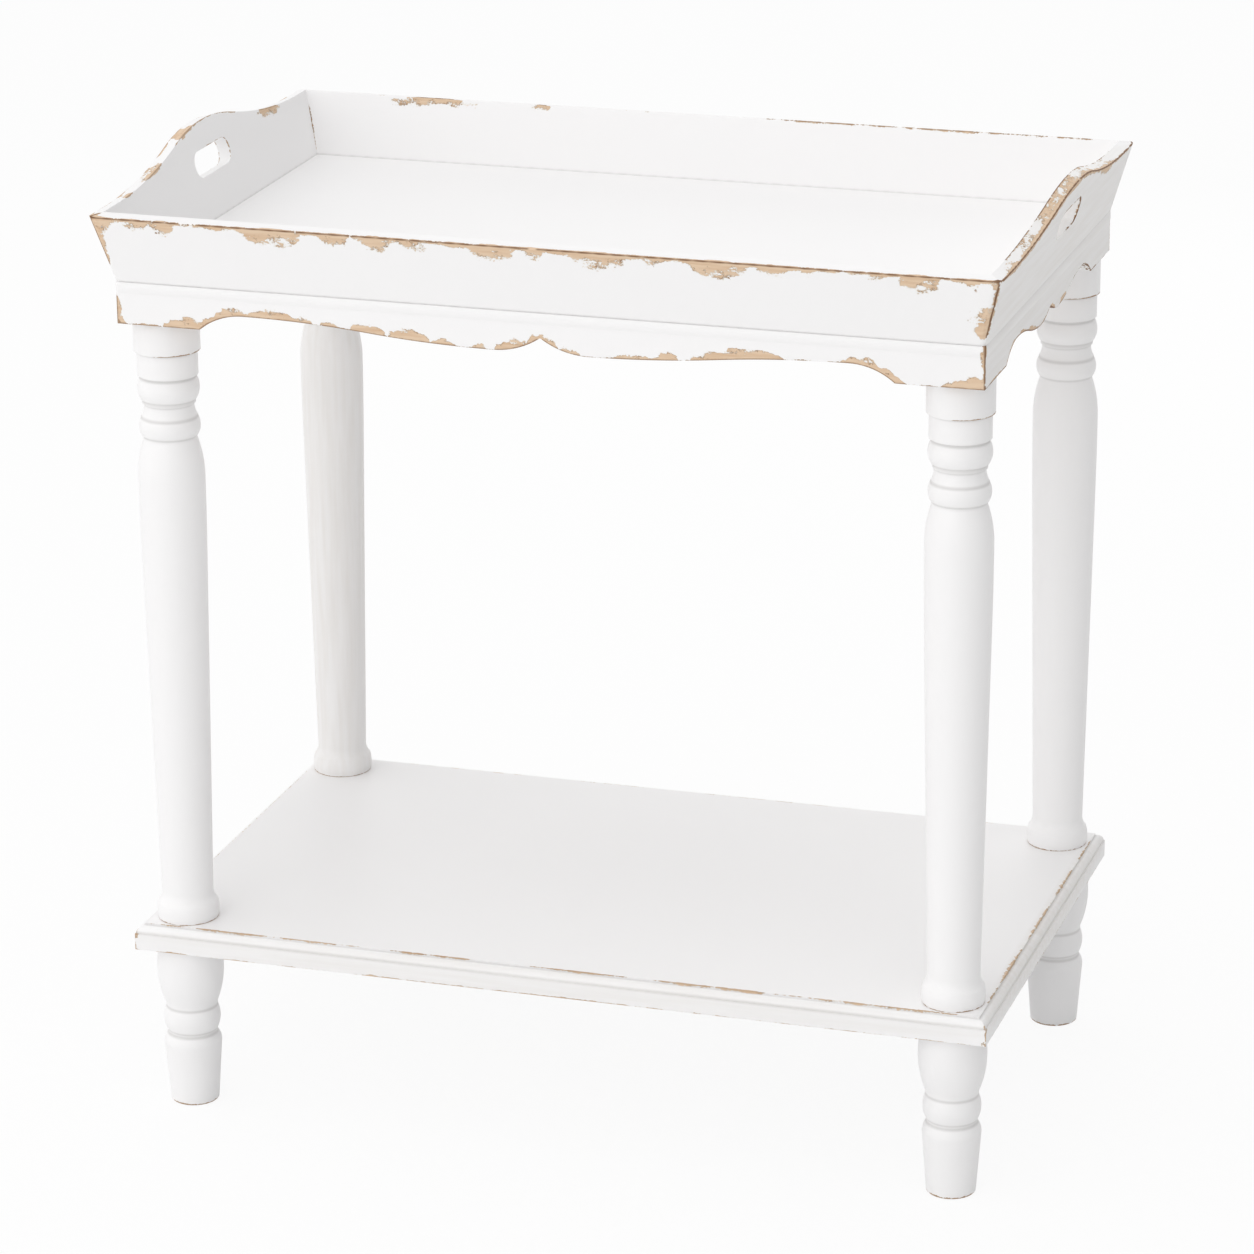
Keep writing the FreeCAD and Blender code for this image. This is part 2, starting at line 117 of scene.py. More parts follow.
class TRAYTABLE_PG_legs(bpy.types.PropertyGroup):
    """Rings and shaft of a turned leg, from the shelf up."""

    base_radius: length("Base radius", 23.5, "Radius of the collar that stands on the shelf")
    base_roll: length("Base roll", 0.9, "How far the base collar's edges roll in")
    base_height: length("Base height", 13.0, "Height of the base collar")
    base_flare: length("Base flare", 9.0, "Height of the hollow above the base collar")
    shaft_foot_radius: length("Shaft foot radius", 19.3, "Radius of the shaft above the base")
    shaft_radius: length("Shaft radius", 24.6, "Largest radius of the shaft")
    shaft_swell: number("Shaft swell", 0.175, "Share of the shaft's length that swells out", "FACTOR")
    shaft_shoulder: length("Shaft shoulder", 29.0, "Height of the shoulder between the shaft and its neck")
    neck_radius: length("Neck radius", 19.8, "Radius of the neck above the shoulder")
    neck_height: length("Neck height", 2.4, "Height of the neck")
    lower_bead_radius: length("Lower bead radius", 22.6, "Radius of the lower bead")
    lower_bead_seat: length("Lower bead seat", 20.6, "Radius at the edges of the lower bead")
    lower_bead_height: length("Lower bead height", 14.0, "Height of the lower bead")
    cove_mouth: length("Cove mouth", 20.9, "Radius at the bottom of the cove")
    cove_radius: length("Cove radius", 18.2, "Radius at the top of the cove")
    cove_height: length("Cove height", 10.5, "Height of the cove")
    fillet_radius: length("Fillet radius", 19.6, "Radius of the fillet over the cove")
    fillet_height: length("Fillet height", 3.0, "Height of the fillet over the cove")
    upper_bead_radius: length("Upper bead radius", 22.9, "Radius of the upper bead")
    upper_bead_seat: length("Upper bead seat", 20.4, "Radius at the edges of the upper bead")
    upper_bead_height: length("Upper bead height", 17.0, "Height of the upper bead")
    groove_radius: length("Groove radius", 20.6, "Radius of the groove under the collars")
    groove_height: length("Groove height", 1.5, "Height of the groove under the collars")
    lower_collar_radius: length("Lower collar radius", 22.3, "Radius of the lower collar")
    lower_collar_height: length("Lower collar height", 18.5, "Height of the lower collar")
    upper_collar_radius: length("Upper collar radius", 24.4, "Radius of the collar under the apron")
    upper_collar_height: length("Upper collar height", 25.6, "Height of the collar under the apron")
    top_bore_depth: length("Top bore depth", 45.0, "Depth of the hole for the hanger bolt")
    foot_bore_depth: length("Foot bore depth", 40.0, "Depth of the hole for the dowel screw")


class TRAYTABLE_PG_feet(bpy.types.PropertyGroup):
    """Cone, ring and bulb of a turned foot, from the floor up."""

    bottom_radius: length("Bottom radius", 18.2, "Radius at the floor")
    bottom_chamfer: length("Bottom chamfer", 1.0, "Chamfer at the floor")
    cone_radius: length("Cone radius", 21.8, "Largest radius of the cone")
    shoulder: length("Shoulder", 8.0, "Height of the round over the cone")
    groove_radius: length("Groove radius", 18.6, "Radius of the groove over the cone")
    groove_height: length("Groove height", 3.0, "Height of the groove over the cone")
    ring_radius: length("Ring radius", 21.4, "Radius of the ring")
    ring_seat: length("Ring seat", 19.2, "Radius at the edges of the ring")
    ring_height: length("Ring height", 19.0, "Height of the ring")
    neck_radius: length("Neck radius", 19.6, "Radius of the neck under the bulb")
    neck_height: length("Neck height", 2.5, "Height of the neck under the bulb")
    bulb_radius: length("Bulb radius", 25.2, "Largest radius of the bulb")
    bulb_lower: length("Bulb lower height", 29.0, "Height of the bulb below its largest radius")
    bulb_upper: length("Bulb upper height", 20.5, "Height of the bulb above its largest radius")
    top_radius: length("Top radius", 22.6, "Radius under the shelf")
    bore_depth: length("Bore depth", 35.0, "Depth of the hole for the dowel screw")


class TRAYTABLE_PG_boards(bpy.types.PropertyGroup):
    """Boards of the shelf, the apron and the tray."""

    shelf_band: length("Shelf band", 13.0, "Height of the square band at the shelf's edge")
    shelf_step: length("Shelf step", 0.8, "Width of the step over the band")
    shelf_round: length("Shelf round", 5.5, "Radius of the round over the step")
    apron_board: length("Apron board", 14.0, "Thickness of the apron boards")
    bead_height: length("Apron bead height", 8.6, "Height of the bead along the apron's top edge")
    bead_proud: length("Apron bead proud", 0.8, "How far the bead stands out from the apron")
    scallop_flat: length("Scallop flat", 64.0, "Level length at each end of an apron's bottom edge")
    arch_run: length("Arch run", 33.0, "Length of the steep side of an arch")
    arch_rise: length("Arch rise", 12.0, "Height of an arch over the level ends")
    front_dip_rise: length("Front dip rise", 2.0, "Height of the dip beside the front cusp")
    front_cusp_run: length("Front cusp run", 35.0, "Length from the front dip to its cusp")
    front_cusp_rise: length("Front cusp rise", 13.0, "Height of the front cusp")
    end_dip_rise: length("End dip rise", 1.5, "Height of the dip beside the end cusp")
    end_cusp_run: length("End cusp run", 27.0, "Length from the end dip to its cusp")
    end_cusp_rise: length("End cusp rise", 8.5, "Height of the end cusp")
    flare_angle: number("Flare angle", math.radians(15), "Lean of the tray's boards", "ANGLE")
    tray_rise: length("Tray rise", 50.0, "Height of the tray's rim over the apron")
    tray_board: length("Tray board", 10.0, "Thickness of the tray's boards")
    crest_rise: length("Crest rise", 21.5, "Height of the end crests over the rim")
    rim_flat: length("Rim flat", 28.0, "Level length beside a crest")
    crest_turn: number("Crest turn", 0.3, "Share of a crest's flank that is round at its top", "FACTOR")
    hole_length: length("Finger hole length", 68.0, "Length of a finger hole")
    hole_height: length("Finger hole height", 20.0, "Height of a finger hole")
    hole_drop: length("Finger hole drop", 30.0, "Way from a crest's top to the middle of its hole")


class TRAYTABLE_PG_finish(bpy.types.PropertyGroup):
    """Paint, wood, metal and painted shade."""

    paint: colour("Paint", "#F4F3F3", "White paint")
    thin_paint: colour("Thin paint", "#E4DCD0", "Paint that is rubbed thin")
    wood: colour("Wood", "#E0C6AA", "Bare pine under the paint")
    dark_wood: colour("Dark wood", "#D2B190", "Late wood and scuffed pine")
    # Painted shade with dust: a grey that darkens the paint in grooves, creases and seams, where shade falls
    arris: colour("Arris", "#7A573A", "Handled wood along the worn arrises")
    shade_and_dust: colour("Recess shade", "#9F9B96", "Painted shade and dust in the recesses")
    # Painted shade: a warm grey that darkens the paint on the right-facing faces, the back left leg and the
    # shelf's edges
    stain: colour("Side shade", "#C9BFB0", "Painted shade on the faces turned from the light")
    zinc: colour("Zinc", "#B9BCBD", "Zinc plating")


class TRAYTABLE_PG_stage(bpy.types.PropertyGroup):
    """Camera and lights."""

    azimuth: number("Azimuth", math.radians(17.606), "Camera's turn from the front to the right", "ANGLE")
    elevation: number("Elevation", math.radians(18.738), "Camera's angle above the level", "ANGLE")
    roll: number("Roll", math.radians(-0.513), "Camera's turn about its own axis", "ANGLE")
    distance: length("Distance", 3896.5, "Camera's distance from the point that it aims at")
    aim: FloatVectorProperty(
        name="Aim", description="Point that the camera aims at", default=(-0.0005, -0.0003, 0.3524),
        subtype="TRANSLATION",
    )
    lens: number("Lens", 148.05, "Focal length in millimetres")
    ambient: number("Ambient", 0.64, "Strength of the light from all round")
    tilt: number("Tilt", 0.52, "How much stronger that light is from the front left and above")
    key: number("Key light", 9.5, "Watts of the large light at the front left")
    top: number("Top light", 8, "Watts of the large light overhead")
    fill: number("Fill light", 5, "Watts of the large light behind the table")


# Outlines, as lists of pairs

def straight(start, end, steps):
    """Points after the first along a straight line."""
    ways = [last - first for first, last in zip(start, end)]
    shares = [step / steps for step in range(1, steps + 1)]
    return [tuple(first + way * share for first, way in zip(start, ways)) for share in shares]


def arc(level, end, steps):
    """Points after the first of the arc that leaves one point along its first axis and reaches another."""
    run = end[0] - level[0]
    rise = end[1] - level[1]
    radius = (run * run + rise * rise) / (2 * rise)
    turn = math.asin(run / radius)
    turns = [turn * step / steps for step in range(1, steps + 1)]
    return [
        (level[0] + radius * math.sin(angle), level[1] + radius * (1 - math.cos(angle))) for angle in turns
    ]


def arc_to_level(start, level, steps):
    """Points after the first of the arc that leaves one point and reaches another along its first axis."""
    return arc(level, start, steps)[-2::-1] + [level]


def ogee(start, end, share, steps):
    """Two arcs that meet smoothly and are level at both ends."""
    turn = (start[0] + (end[0] - start[0]) * share, start[1] + (end[1] - start[1]) * share)
    return arc(start, turn, steps) + arc_to_level(turn, end, steps)


def bead(start, height, radius, steps):
    """Points after the first of a bead that swells to a radius and comes back."""
    middle = (start[0] + height / 2, radius)
    return arc_to_level(start, middle, steps) + arc(middle, (start[0] + height, start[1]), steps)


def with_mirror(left):
    """An outline's left half and its mirror image, with a middle point once."""
    return left + [(-along, height) for along, height in reversed(left) if abs(along) > WELD]


# Modelling, as by hand

TURNED_SIDES = 96
CORNER_STEPS = 8
CORNER_SPARE = 0.05 * MM


def start_fresh():
    """Leaves edit mode and selects nothing."""
    if bpy.context.object and bpy.context.object.mode != "OBJECT":
        bpy.ops.object.mode_set(mode="OBJECT")
    bpy.ops.object.select_all(action="DESELECT")


def take(piece):
    """Selects one piece alone and makes it active."""
    start_fresh()
    piece.select_set(True)
    bpy.context.view_layer.objects.active = piece


def just_added(name):
    """The object that was just added, with its name."""
    bpy.context.object.name = name
    return bpy.context.object


def edit_all(piece):
    """Enters edit mode on one piece with all of its mesh selected."""
    take(piece)
    bpy.ops.object.mode_set(mode="EDIT")
    bpy.ops.mesh.select_all(action="SELECT")


def face_outwards():
    """Turns all faces in edit mode outwards and leaves edit mode."""
    bpy.ops.mesh.select_all(action="SELECT")
    bpy.ops.mesh.normals_make_consistent(inside=False)
    bpy.ops.object.mode_set(mode="OBJECT")


def settle():
    """Puts the selected object's place, turn and size into its mesh."""
    bpy.ops.object.transform_apply(location=True, rotation=True, scale=True)


def delete(piece):
    """Deletes one piece."""
    take(piece)
    bpy.ops.object.delete()


def copied(piece, name, placed=Matrix()):
    """Copy with its own mesh, moved or turned into place."""
    take(piece)
    bpy.ops.object.duplicate()
    copy = just_added(name)
    copy.matrix_world = placed
    settle()
    return copy


def outline_face(name, points):
    """Face with a given outline: a filled circle with one vertex for each point, moved onto the points."""
    start_fresh()
    bpy.ops.mesh.primitive_circle_add(vertices=len(points), radius=OVERRUN, fill_type="NGON")
    piece = just_added(name)
    for vertex, point in zip(piece.data.vertices, points):
        vertex.co = point
    return piece


def block_between(name, low, high):
    """Square block between two corners."""
    start_fresh()
    bpy.ops.mesh.primitive_cube_add(size=1)
    piece = just_added(name)
    piece.dimensions = high - low
    piece.location = (low + high) / 2
    settle()
    return piece


def slab(name, points, way):
    """Solid made by extruding a face along a way."""
    piece = outline_face(name, points)
    edit_all(piece)
    bpy.ops.mesh.extrude_region_move(TRANSFORM_OT_translate={"value": way})
    face_outwards()
    return piece


def draw_up(piece, centre, rows):
    """Solid made by extruding a level face from row to row of (height, half size in X, half size in Y)."""
    edit_all(piece)
    for (height, *sizes), (next_height, *next_sizes) in pairwise(rows):
        bpy.ops.mesh.extrude_region_move(TRANSFORM_OT_translate={"value": (0, 0, next_height - height)})
        shares = [after / before for before, after in zip(sizes, next_sizes)]
        bpy.ops.transform.resize(value=(*shares, 1), center_override=(centre.x, centre.y, next_height))
    face_outwards()


def turned(name, centre, rows):
    """Solid of revolution: a filled circle that is drawn up from row to row of (height, radius)."""
    start_fresh()
    height, radius = rows[0]
    bpy.ops.mesh.primitive_circle_add(
        vertices=TURNED_SIDES, radius=radius, fill_type="NGON", location=(centre.x, centre.y, height)
    )
    piece = just_added(name)
    settle()
    draw_up(piece, centre, [(height, radius, radius) for height, radius in rows])
    return piece


def apply_modifier(piece, kind, **settings):
    """Adds a modifier, sets it and applies it."""
    take(piece)
    bpy.ops.object.modifier_add(type=kind)
    modifier = piece.modifiers[-1]
    for key, value in settings.items():
        setattr(modifier, key, value)
    bpy.ops.object.modifier_apply(modifier=modifier.name)


def soften(piece, width, segments=2):
    """Rounds the piece's arrises."""
    apply_modifier(
        piece, "BEVEL", width=width, segments=segments, limit_method="ANGLE", angle_limit=ARRIS_ANGLE
    )


def carve(piece, tool, operation="DIFFERENCE"):
    """Cuts a tool's shape from a piece, or keeps only what lies inside it, and deletes the tool."""
    apply_modifier(piece, "BOOLEAN", object=tool, operation=operation, solver="EXACT")
    delete(tool)


def saw_off(piece, *cuts):
    """Cuts along planes of (point, normal), takes off what the normals point at and closes the cuts."""
    edit_all(piece)
    for point, normal in cuts:
        bpy.ops.mesh.select_all(action="SELECT")
        bpy.ops.mesh.bisect(plane_co=point, plane_no=normal, use_fill=True, clear_outer=True, threshold=WELD)
    bpy.ops.object.mode_set(mode="OBJECT")


def slice_evenly(piece, start, normal, reach, spacing):
    """Divides the piece's faces along evenly spaced planes, without changing its shape."""
    edit_all(piece)
    count = max(1, round(reach / spacing))
    for step in range(1, count):
        bpy.ops.mesh.select_all(action="SELECT")
        bpy.ops.mesh.bisect(plane_co=start + normal * (reach * step / count), plane_no=normal, threshold=WELD)
    bpy.ops.object.mode_set(mode="OBJECT")


def mitre(piece, half_along, half_across):
    """Mitres both ends of a front board."""
    saw_off(piece, ((half_along, -half_across, 0), (1, 1, 0)), ((-half_along, -half_across, 0), (-1, 1, 0)))


def pulled_in(point, half_along, half_across, low, lean, radius):
    """Where a point near a frame's sharp outer corner lies once the corner is rounded."""
    spread = lean * (point.z - low) - radius
    x = math.copysign(half_along + spread, point.x)
    y = math.copysign(half_across + spread, point.y)
    centre = Vector((x, y))
    away = Vector((point.x, point.y)) - centre
    if away.x * point.x < 0 or away.y * point.y < 0 or away.length < radius:
        return point
    x, y = centre + away * (radius / away.length)
    return Vector((x, y, point.z))


def round_corners(piece, points, half_along, half_across, low, high, lean, radius):
    """Keeps what lies inside a flared block with rounded corners, and gives points moved in with it."""
    foot = [half - lean * OVERRUN + CORNER_SPARE for half in (half_along, half_across)]
    bottom = low - OVERRUN
    rise = high - low + 2 * OVERRUN
    outline = []
    for quarter, (side, end) in enumerate(((1, 1), (-1, 1), (-1, -1), (1, -1))):
        for step in range(CORNER_STEPS + 1):
            turn = math.pi / 2 * (quarter + step / CORNER_STEPS)
            x = side * (foot[0] - radius) + radius * math.cos(turn)
            y = end * (foot[1] - radius) + radius * math.sin(turn)
            outline.append((x, y, bottom))
    block = outline_face("corner_block", outline)
    draw_up(block, ORIGIN, [(bottom, *foot), (bottom + rise, *(half + lean * rise for half in foot))])
    carve(piece, block, "INTERSECT")
    return [pulled_in(point, half_along, half_across, low, lean, radius) for point in points]


# Wear along the arrises

ARRIS_ANGLE = math.radians(28)
SMOOTH_ANGLE = math.radians(35)
ARRIS_SAMPLE = 1.5 * MM
ARRIS_REACH = 20 * MM
RECESS_REACH = 4 * MM
RUB_FADE = 0.25


def sharp_points(piece):
    """Points along the piece's outer arrises and along its inner recesses."""
    mesh = bmesh.new()
    mesh.from_mesh(piece.data)
    outer, inner = [], []
    for edge in mesh.edges:
        angle = edge.calc_face_angle_signed(0)
        if abs(angle) < ARRIS_ANGLE:
            continue
        first, last = (vertex.co for vertex in edge.verts)
        count = max(1, round(edge.calc_length() / ARRIS_SAMPLE))
        points = [first.lerp(last, step / count) for step in range(count + 1)]
        (outer if angle > 0 else inner).extend(points)
    mesh.free()
    return outer, inner


def nearness(vertices, points, reach):
    """One at the points, and zero from a reach away."""
    if not points:
        return [0.0] * len(vertices)
    tree = kdtree.KDTree(len(points))
    for index, point in enumerate(points):
        tree.insert(point, index)
    tree.balance()
    return [max(0.0, 1 - tree.find(vertex.co)[2] / reach) for vertex in vertices]


def along_arris(axis, place, thickness, strokes):
    """Rubs along one arris, in millimetres: each stroke is its middle, half length and width bared."""
    rubs = []
    for middle, half, width in strokes:
        centre, size = list(place), [thickness] * 3
        centre[axis], size[axis] = middle, half
        rubs.append((centre, size, width))
    return rubs


def rubbed(place, rubs):
    """Width that the listed rubs bare at a place: each rub is a soft ball, longer one way than another."""
    spot = tuple(place / MM)
    widest = 0.0
    for centre, half, width in rubs:
        gap = sum(((at - middle) / reach) ** 2 for at, middle, reach in zip(spot, centre, half))
        if gap < 1:
            widest = max(widest, width * (1 - gap) ** RUB_FADE)
    return widest


def rise_at(outline, along):
    """Height of an outline's curve at a place along it."""
    after = bisect.bisect_right(outline, (along, math.inf))
    if after == 0 or after == len(outline):
        return 0.0
    first, low = outline[after - 1]
    last, high = outline[after]
    return low + (high - low) * (along - first) / (last - first)


def mark_wear(piece, outer=(), inner=(), placed=Matrix(), slope=UP, outline=()):
    """Writes on each vertex how near an arris or a recess is, how rubbed and soiled it is, and how much
    painted shade it takes.

    The arrises and recesses are those of the blank, before it was placed. Rubs are written as if a board's
    edge were straight, so they are read that far down the board's slope.
    """
    even, soil, rubs = WEAR[piece.name]
    # Boxes where painted shade darkens this piece's paint
    shade_boxes = PAINTED_SHADE_BOXES.get(piece.name, ())
    vertices = piece.data.vertices
    swing = placed.to_3x3()
    level = [spot.co - swing @ (slope * rise_at(outline, (spot.co @ swing).x)) for spot in vertices]
    layers = {
        "arris": nearness(vertices, [placed @ point for point in outer], ARRIS_REACH),
        "recess": nearness(vertices, [placed @ point for point in inner], RECESS_REACH),
        "stain": [rubbed(spot.co, shade_boxes) for spot in vertices],
        "rub": [max(even, rubbed(place, rubs)) for place in level],
        "soil": [soil] * len(vertices),
    }
    for name, values in layers.items():
        piece.data.attributes.new(name, "FLOAT", "POINT").data.foreach_set("value", values)


def finish_piece(piece, node, grain):
    """Smooths the piece, paints it and hands it to the frame in place of a CAD node."""
    take(piece)
    bpy.ops.object.shade_smooth_by_angle(angle=SMOOTH_ANGLE)
    apply_modifier(piece, "WEIGHTED_NORMAL", keep_sharp=True)
    piece.data.materials.clear()
    piece.data.materials.append(material_of("brushed_white_paint_on_pine_" + grain, painted_pine, grain))
    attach(piece, frame["nodes"][node]["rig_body"])
    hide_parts(node)


def stand_copies(blank, copies, grain, outer, inner, slope=UP, outline=()):
    """Stands a worn and painted copy of a blank for each (name, node, place), and deletes the blank."""
    for name, node, placed in copies:
        piece = copied(blank, name, placed)
        mark_wear(piece, outer, inner, placed, slope, outline)
        finish_piece(piece, node, grain)
    delete(blank)


def quarter_turn(degrees):
    """Turn about the table's middle."""
    return Matrix.Rotation(math.radians(degrees), 4, "Z")


# Materials

WHITE = (1, 1, 1, 1)
MIXED_COLOUR = 2
GRAIN_STRETCH = {"along": (0.06, 1, 1), "across": (1, 0.06, 1), "upright": (1, 1, 0.06)}
CHIP_STRETCH = 0.45
LEAST_WIDTH = 0.02
PAINT_IOR = 1.48

# Real sizes of the patterns, the thickness of the paint, and how much of it a brush mark takes up
CHIP = 6 * MM
FLECK = 1.5 * MM
SPECK = 3 * MM
LATE_LINE = 2 * MM
SOIL_PATCH = 7 * MM
# Painted shade lies in streaks about 5 mm apart
SHADE_STREAK = 5 * MM
BRUSH_MARK = 1.2 * MM
PAINT_COAT = 0.15 * MM
BRUSH_SHARE = 0.12
PLANED_LINE = 3 * MM
PLANED_RIDGE = 0.1 * MM
SPANGLE = 1.5 * MM

# How far noise moves a chip's edge, as shares of the bared width, and where those marks begin and are full
CHIP_PULL = 4.0
FLECK_PULL = 1.3
CHIPPED = (3.66, 3.6)
THINNED = (3.95, 3.64)
# Dark rim along the chips' edges: painted shadow of the paint's step, and dirt
SHADOWED_AND_DIRTY = (3.3, 3.62)

# Where other marks begin and are full, with their least and greatest strength
SCARCE = (0.0, 2.5, 0.9, 0.0)
SPECKED = (0.69, 0.72)
BESIDE_CHIPS = (2.2, 1.4)
WIDELY_RUBBED = (3.0, 6.0)
LATE_WOOD = (0.42, 0.72)
HANDLED = (1.4, 0.55)
PATCHY = (0.44, 0.6, 0.0, 0.75)
# Painted shade and dust near the recesses
SHADED_AND_DUSTY = (0.45, 1.0, 0.0, 0.32)
# Painted shade in cloudy streaks
CLOUDY = (0.38, 0.66, 0.45, 1.0)
PAINT_TO_WOOD_ROUGHNESS = (0.0, 1.0, 0.45, 0.7)
PINE_LATE_WOOD = (0.4, 0.7)
ZINC_ROUGHNESS = (0.0, 1.0, 0.25, 0.5)


def add_node(tree, kind, inputs=(), output=0, **settings):
    """Adds a node with its settings, fills its inputs, by name or in order, and gives one of its outputs."""
    made = tree.nodes.new("ShaderNode" + kind)
    for key, value in settings.items():
        setattr(made, key, value)
    for key, value in inputs.items() if isinstance(inputs, dict) else enumerate(inputs):
        if isinstance(value, bpy.types.NodeSocket):
            tree.links.new(value, made.inputs[key])
        else:
            made.inputs[key].default_value = value
    return made.outputs[output] if made.outputs else None


def material_of(name, surface, *choices):
    """The material of that name, whose surface is built when it is first asked for."""
    material = bpy.data.materials.get(name)
    if material is None:
        material = bpy.data.materials.new(name)
        material.use_nodes = True
        material.node_tree.nodes.clear()
        shader = surface(material.node_tree, *choices)
        add_node(material.node_tree, "OutputMaterial", {"Surface": shader})
    return material


def opaque(rgb):
    """Colour with full opacity."""
    return (*rgb, 1)


def painted_pine(tree, grain):
    """Brushed white emulsion on pine: satin, faintly streaked, and chipped to tan wood along the arrises,
    with painted shade in the recesses and where the table faces away from the light.
    """
    finish = bpy.context.scene.tray_table_finish
    place = add_node(tree, "TexCoord", output="Object")
    along_grain = add_node(tree, "Mapping", {"Vector": place, "Scale": GRAIN_STRETCH[grain]})
    # Vertex layers, one of which holds how much painted shade darkens the paint
    arris, recess, rub, stain, soil = [
        add_node(tree, "Attribute", output="Fac", attribute_name=layer)
        for layer in ("arris", "recess", "rub", "stain", "soil")
    ]

    # Distance from the nearest arris, and that as a share of the width that is rubbed bare there
    gap = add_node(tree, "Math", [arris, -ARRIS_REACH / MM, ARRIS_REACH / MM], operation="MULTIPLY_ADD")
    width = add_node(tree, "Math", [rub, LEAST_WIDTH], operation="MAXIMUM")
    share = add_node(tree, "Math", [gap, width], operation="DIVIDE")

    # Chips about 6 mm across, torn along the grain, with flecks of 1.5 mm at their edges; thin lines break up
    stretch = [max(CHIP_STRETCH, size) for size in GRAIN_STRETCH[grain]]
    torn = add_node(tree, "Mapping", {"Vector": place, "Scale": stretch})
    chips = add_node(
        tree, "TexNoise", {"Vector": torn, "Scale": 1 / CHIP, "Detail": 6.0, "Roughness": 0.66}
    )
    flecks = add_node(tree, "TexNoise", {"Vector": place, "Scale": 1 / FLECK, "Detail": 2.0})
    scarce = add_node(tree, "MapRange", [rub, *SCARCE])
    ragged = add_node(tree, "Math", [chips, CHIP_PULL, share], operation="MULTIPLY_ADD")
    ragged = add_node(tree, "Math", [ragged, scarce], operation="ADD")
    ragged = add_node(tree, "Math", [flecks, FLECK_PULL, ragged], operation="MULTIPLY_ADD")
    # Chips, thin paint beside them, and a dark rim at their edges that is painted shadow of the paint's step
    # with dirt
    chipped, thin, shadow_and_dirt = [
        add_node(tree, "MapRange", [ragged, *edge], interpolation_type="SMOOTHSTEP")
        for edge in (CHIPPED, THINNED, SHADOWED_AND_DIRTY)
    ]

    # Specks about 3 mm apart in the paint beside the widest chips
    specks = add_node(tree, "TexNoise", {"Vector": place, "Scale": 1 / SPECK, "Detail": 1.0})
    specks = add_node(tree, "MapRange", [specks, *SPECKED], interpolation_type="SMOOTHSTEP")
    for measure, limits in ((share, BESIDE_CHIPS), (rub, WIDELY_RUBBED)):
        near = add_node(tree, "MapRange", [measure, *limits])
        specks = add_node(tree, "Math", [specks, near], operation="MULTIPLY")
    bare = add_node(tree, "Math", [chipped, specks], operation="MAXIMUM")
    shadow_and_dirt = add_node(tree, "Math", [shadow_and_dirt, specks], operation="MAXIMUM")

    # Pine with late wood about 2 mm apart; a dark rim in patches of 7 mm beside the paint, which paints the
    # shadow of the paint's step along with dirt; and soil along the arrises
    late = add_node(
        tree, "TexNoise", {"Vector": along_grain, "Scale": 1 / LATE_LINE, "Detail": 5.0, "Roughness": 0.6}
    )
    late = add_node(tree, "MapRange", [late, *LATE_WOOD])
    handled = add_node(tree, "MapRange", [gap, *HANDLED], interpolation_type="SMOOTHSTEP")
    handled = add_node(tree, "Math", [handled, soil], operation="MULTIPLY")
    patchy = add_node(tree, "TexNoise", {"Vector": place, "Scale": 1 / SOIL_PATCH, "Detail": 3.0})
    patchy = add_node(tree, "MapRange", [patchy, *PATCHY])
    shadow_and_dirt = add_node(tree, "Math", [shadow_and_dirt, patchy], operation="MULTIPLY")
    soil_and_shadow = add_node(tree, "Math", [shadow_and_dirt, handled], operation="MAXIMUM")
    wood = opaque(finish.wood)
    for cover, tone in ((late, finish.dark_wood), (soil_and_shadow, finish.arris)):
        tones = {"Factor": cover, "A": wood, "B": opaque(tone)}
        wood = add_node(tree, "Mix", tones, MIXED_COLOUR, data_type="RGBA")

    # Paint: thin and warm beside the chips, with painted shade and dust in the recesses, and painted shade in
    # streaks about 5 mm apart where the table faces away from the light
    # Painted shade and dust: grey darkening near the grooves, creases and seams
    shade_and_dust_cover = add_node(tree, "MapRange", [recess, *SHADED_AND_DUSTY], interpolation_type="SMOOTHSTEP")
    # Painted shade: cloudy streaks of warm grey where the table faces away from the light
    shade_cover = add_node(tree, "TexNoise", {"Vector": along_grain, "Scale": 1 / SHADE_STREAK, "Detail": 4.0})
    shade_cover = add_node(tree, "MapRange", [shade_cover, *CLOUDY])
    shade_cover = add_node(tree, "Math", [shade_cover, stain], operation="MULTIPLY")
    paint = opaque(finish.paint)
    for cover, tone in ((thin, finish.thin_paint), (shade_and_dust_cover, finish.shade_and_dust), (shade_cover, finish.stain)):
        tones = {"Factor": cover, "A": paint, "B": opaque(tone)}
        paint = add_node(tree, "Mix", tones, MIXED_COLOUR, data_type="RGBA")
    tones = {"Factor": bare, "A": paint, "B": wood}
    surface = add_node(tree, "Mix", tones, MIXED_COLOUR, data_type="RGBA")

    # Brush marks about 1.2 mm apart, and the step of 0.15 mm from the paint down to the wood
    strokes = add_node(tree, "TexNoise", {"Vector": along_grain, "Scale": 1 / BRUSH_MARK, "Detail": 4.0})
    height = add_node(tree, "Math", [bare, -1.0, 1.0], operation="MULTIPLY_ADD")
    height = add_node(tree, "Math", [strokes, BRUSH_SHARE, height], operation="MULTIPLY_ADD")
    bump = add_node(tree, "Bump", {"Strength": 1.0, "Distance": PAINT_COAT, "Height": height})
    roughness = add_node(tree, "MapRange", [bare, *PAINT_TO_WOOD_ROUGHNESS])
    looks = {"Base Color": surface, "Roughness": roughness, "IOR": PAINT_IOR, "Normal": bump}
    return add_node(tree, "BsdfPrincipled", looks)


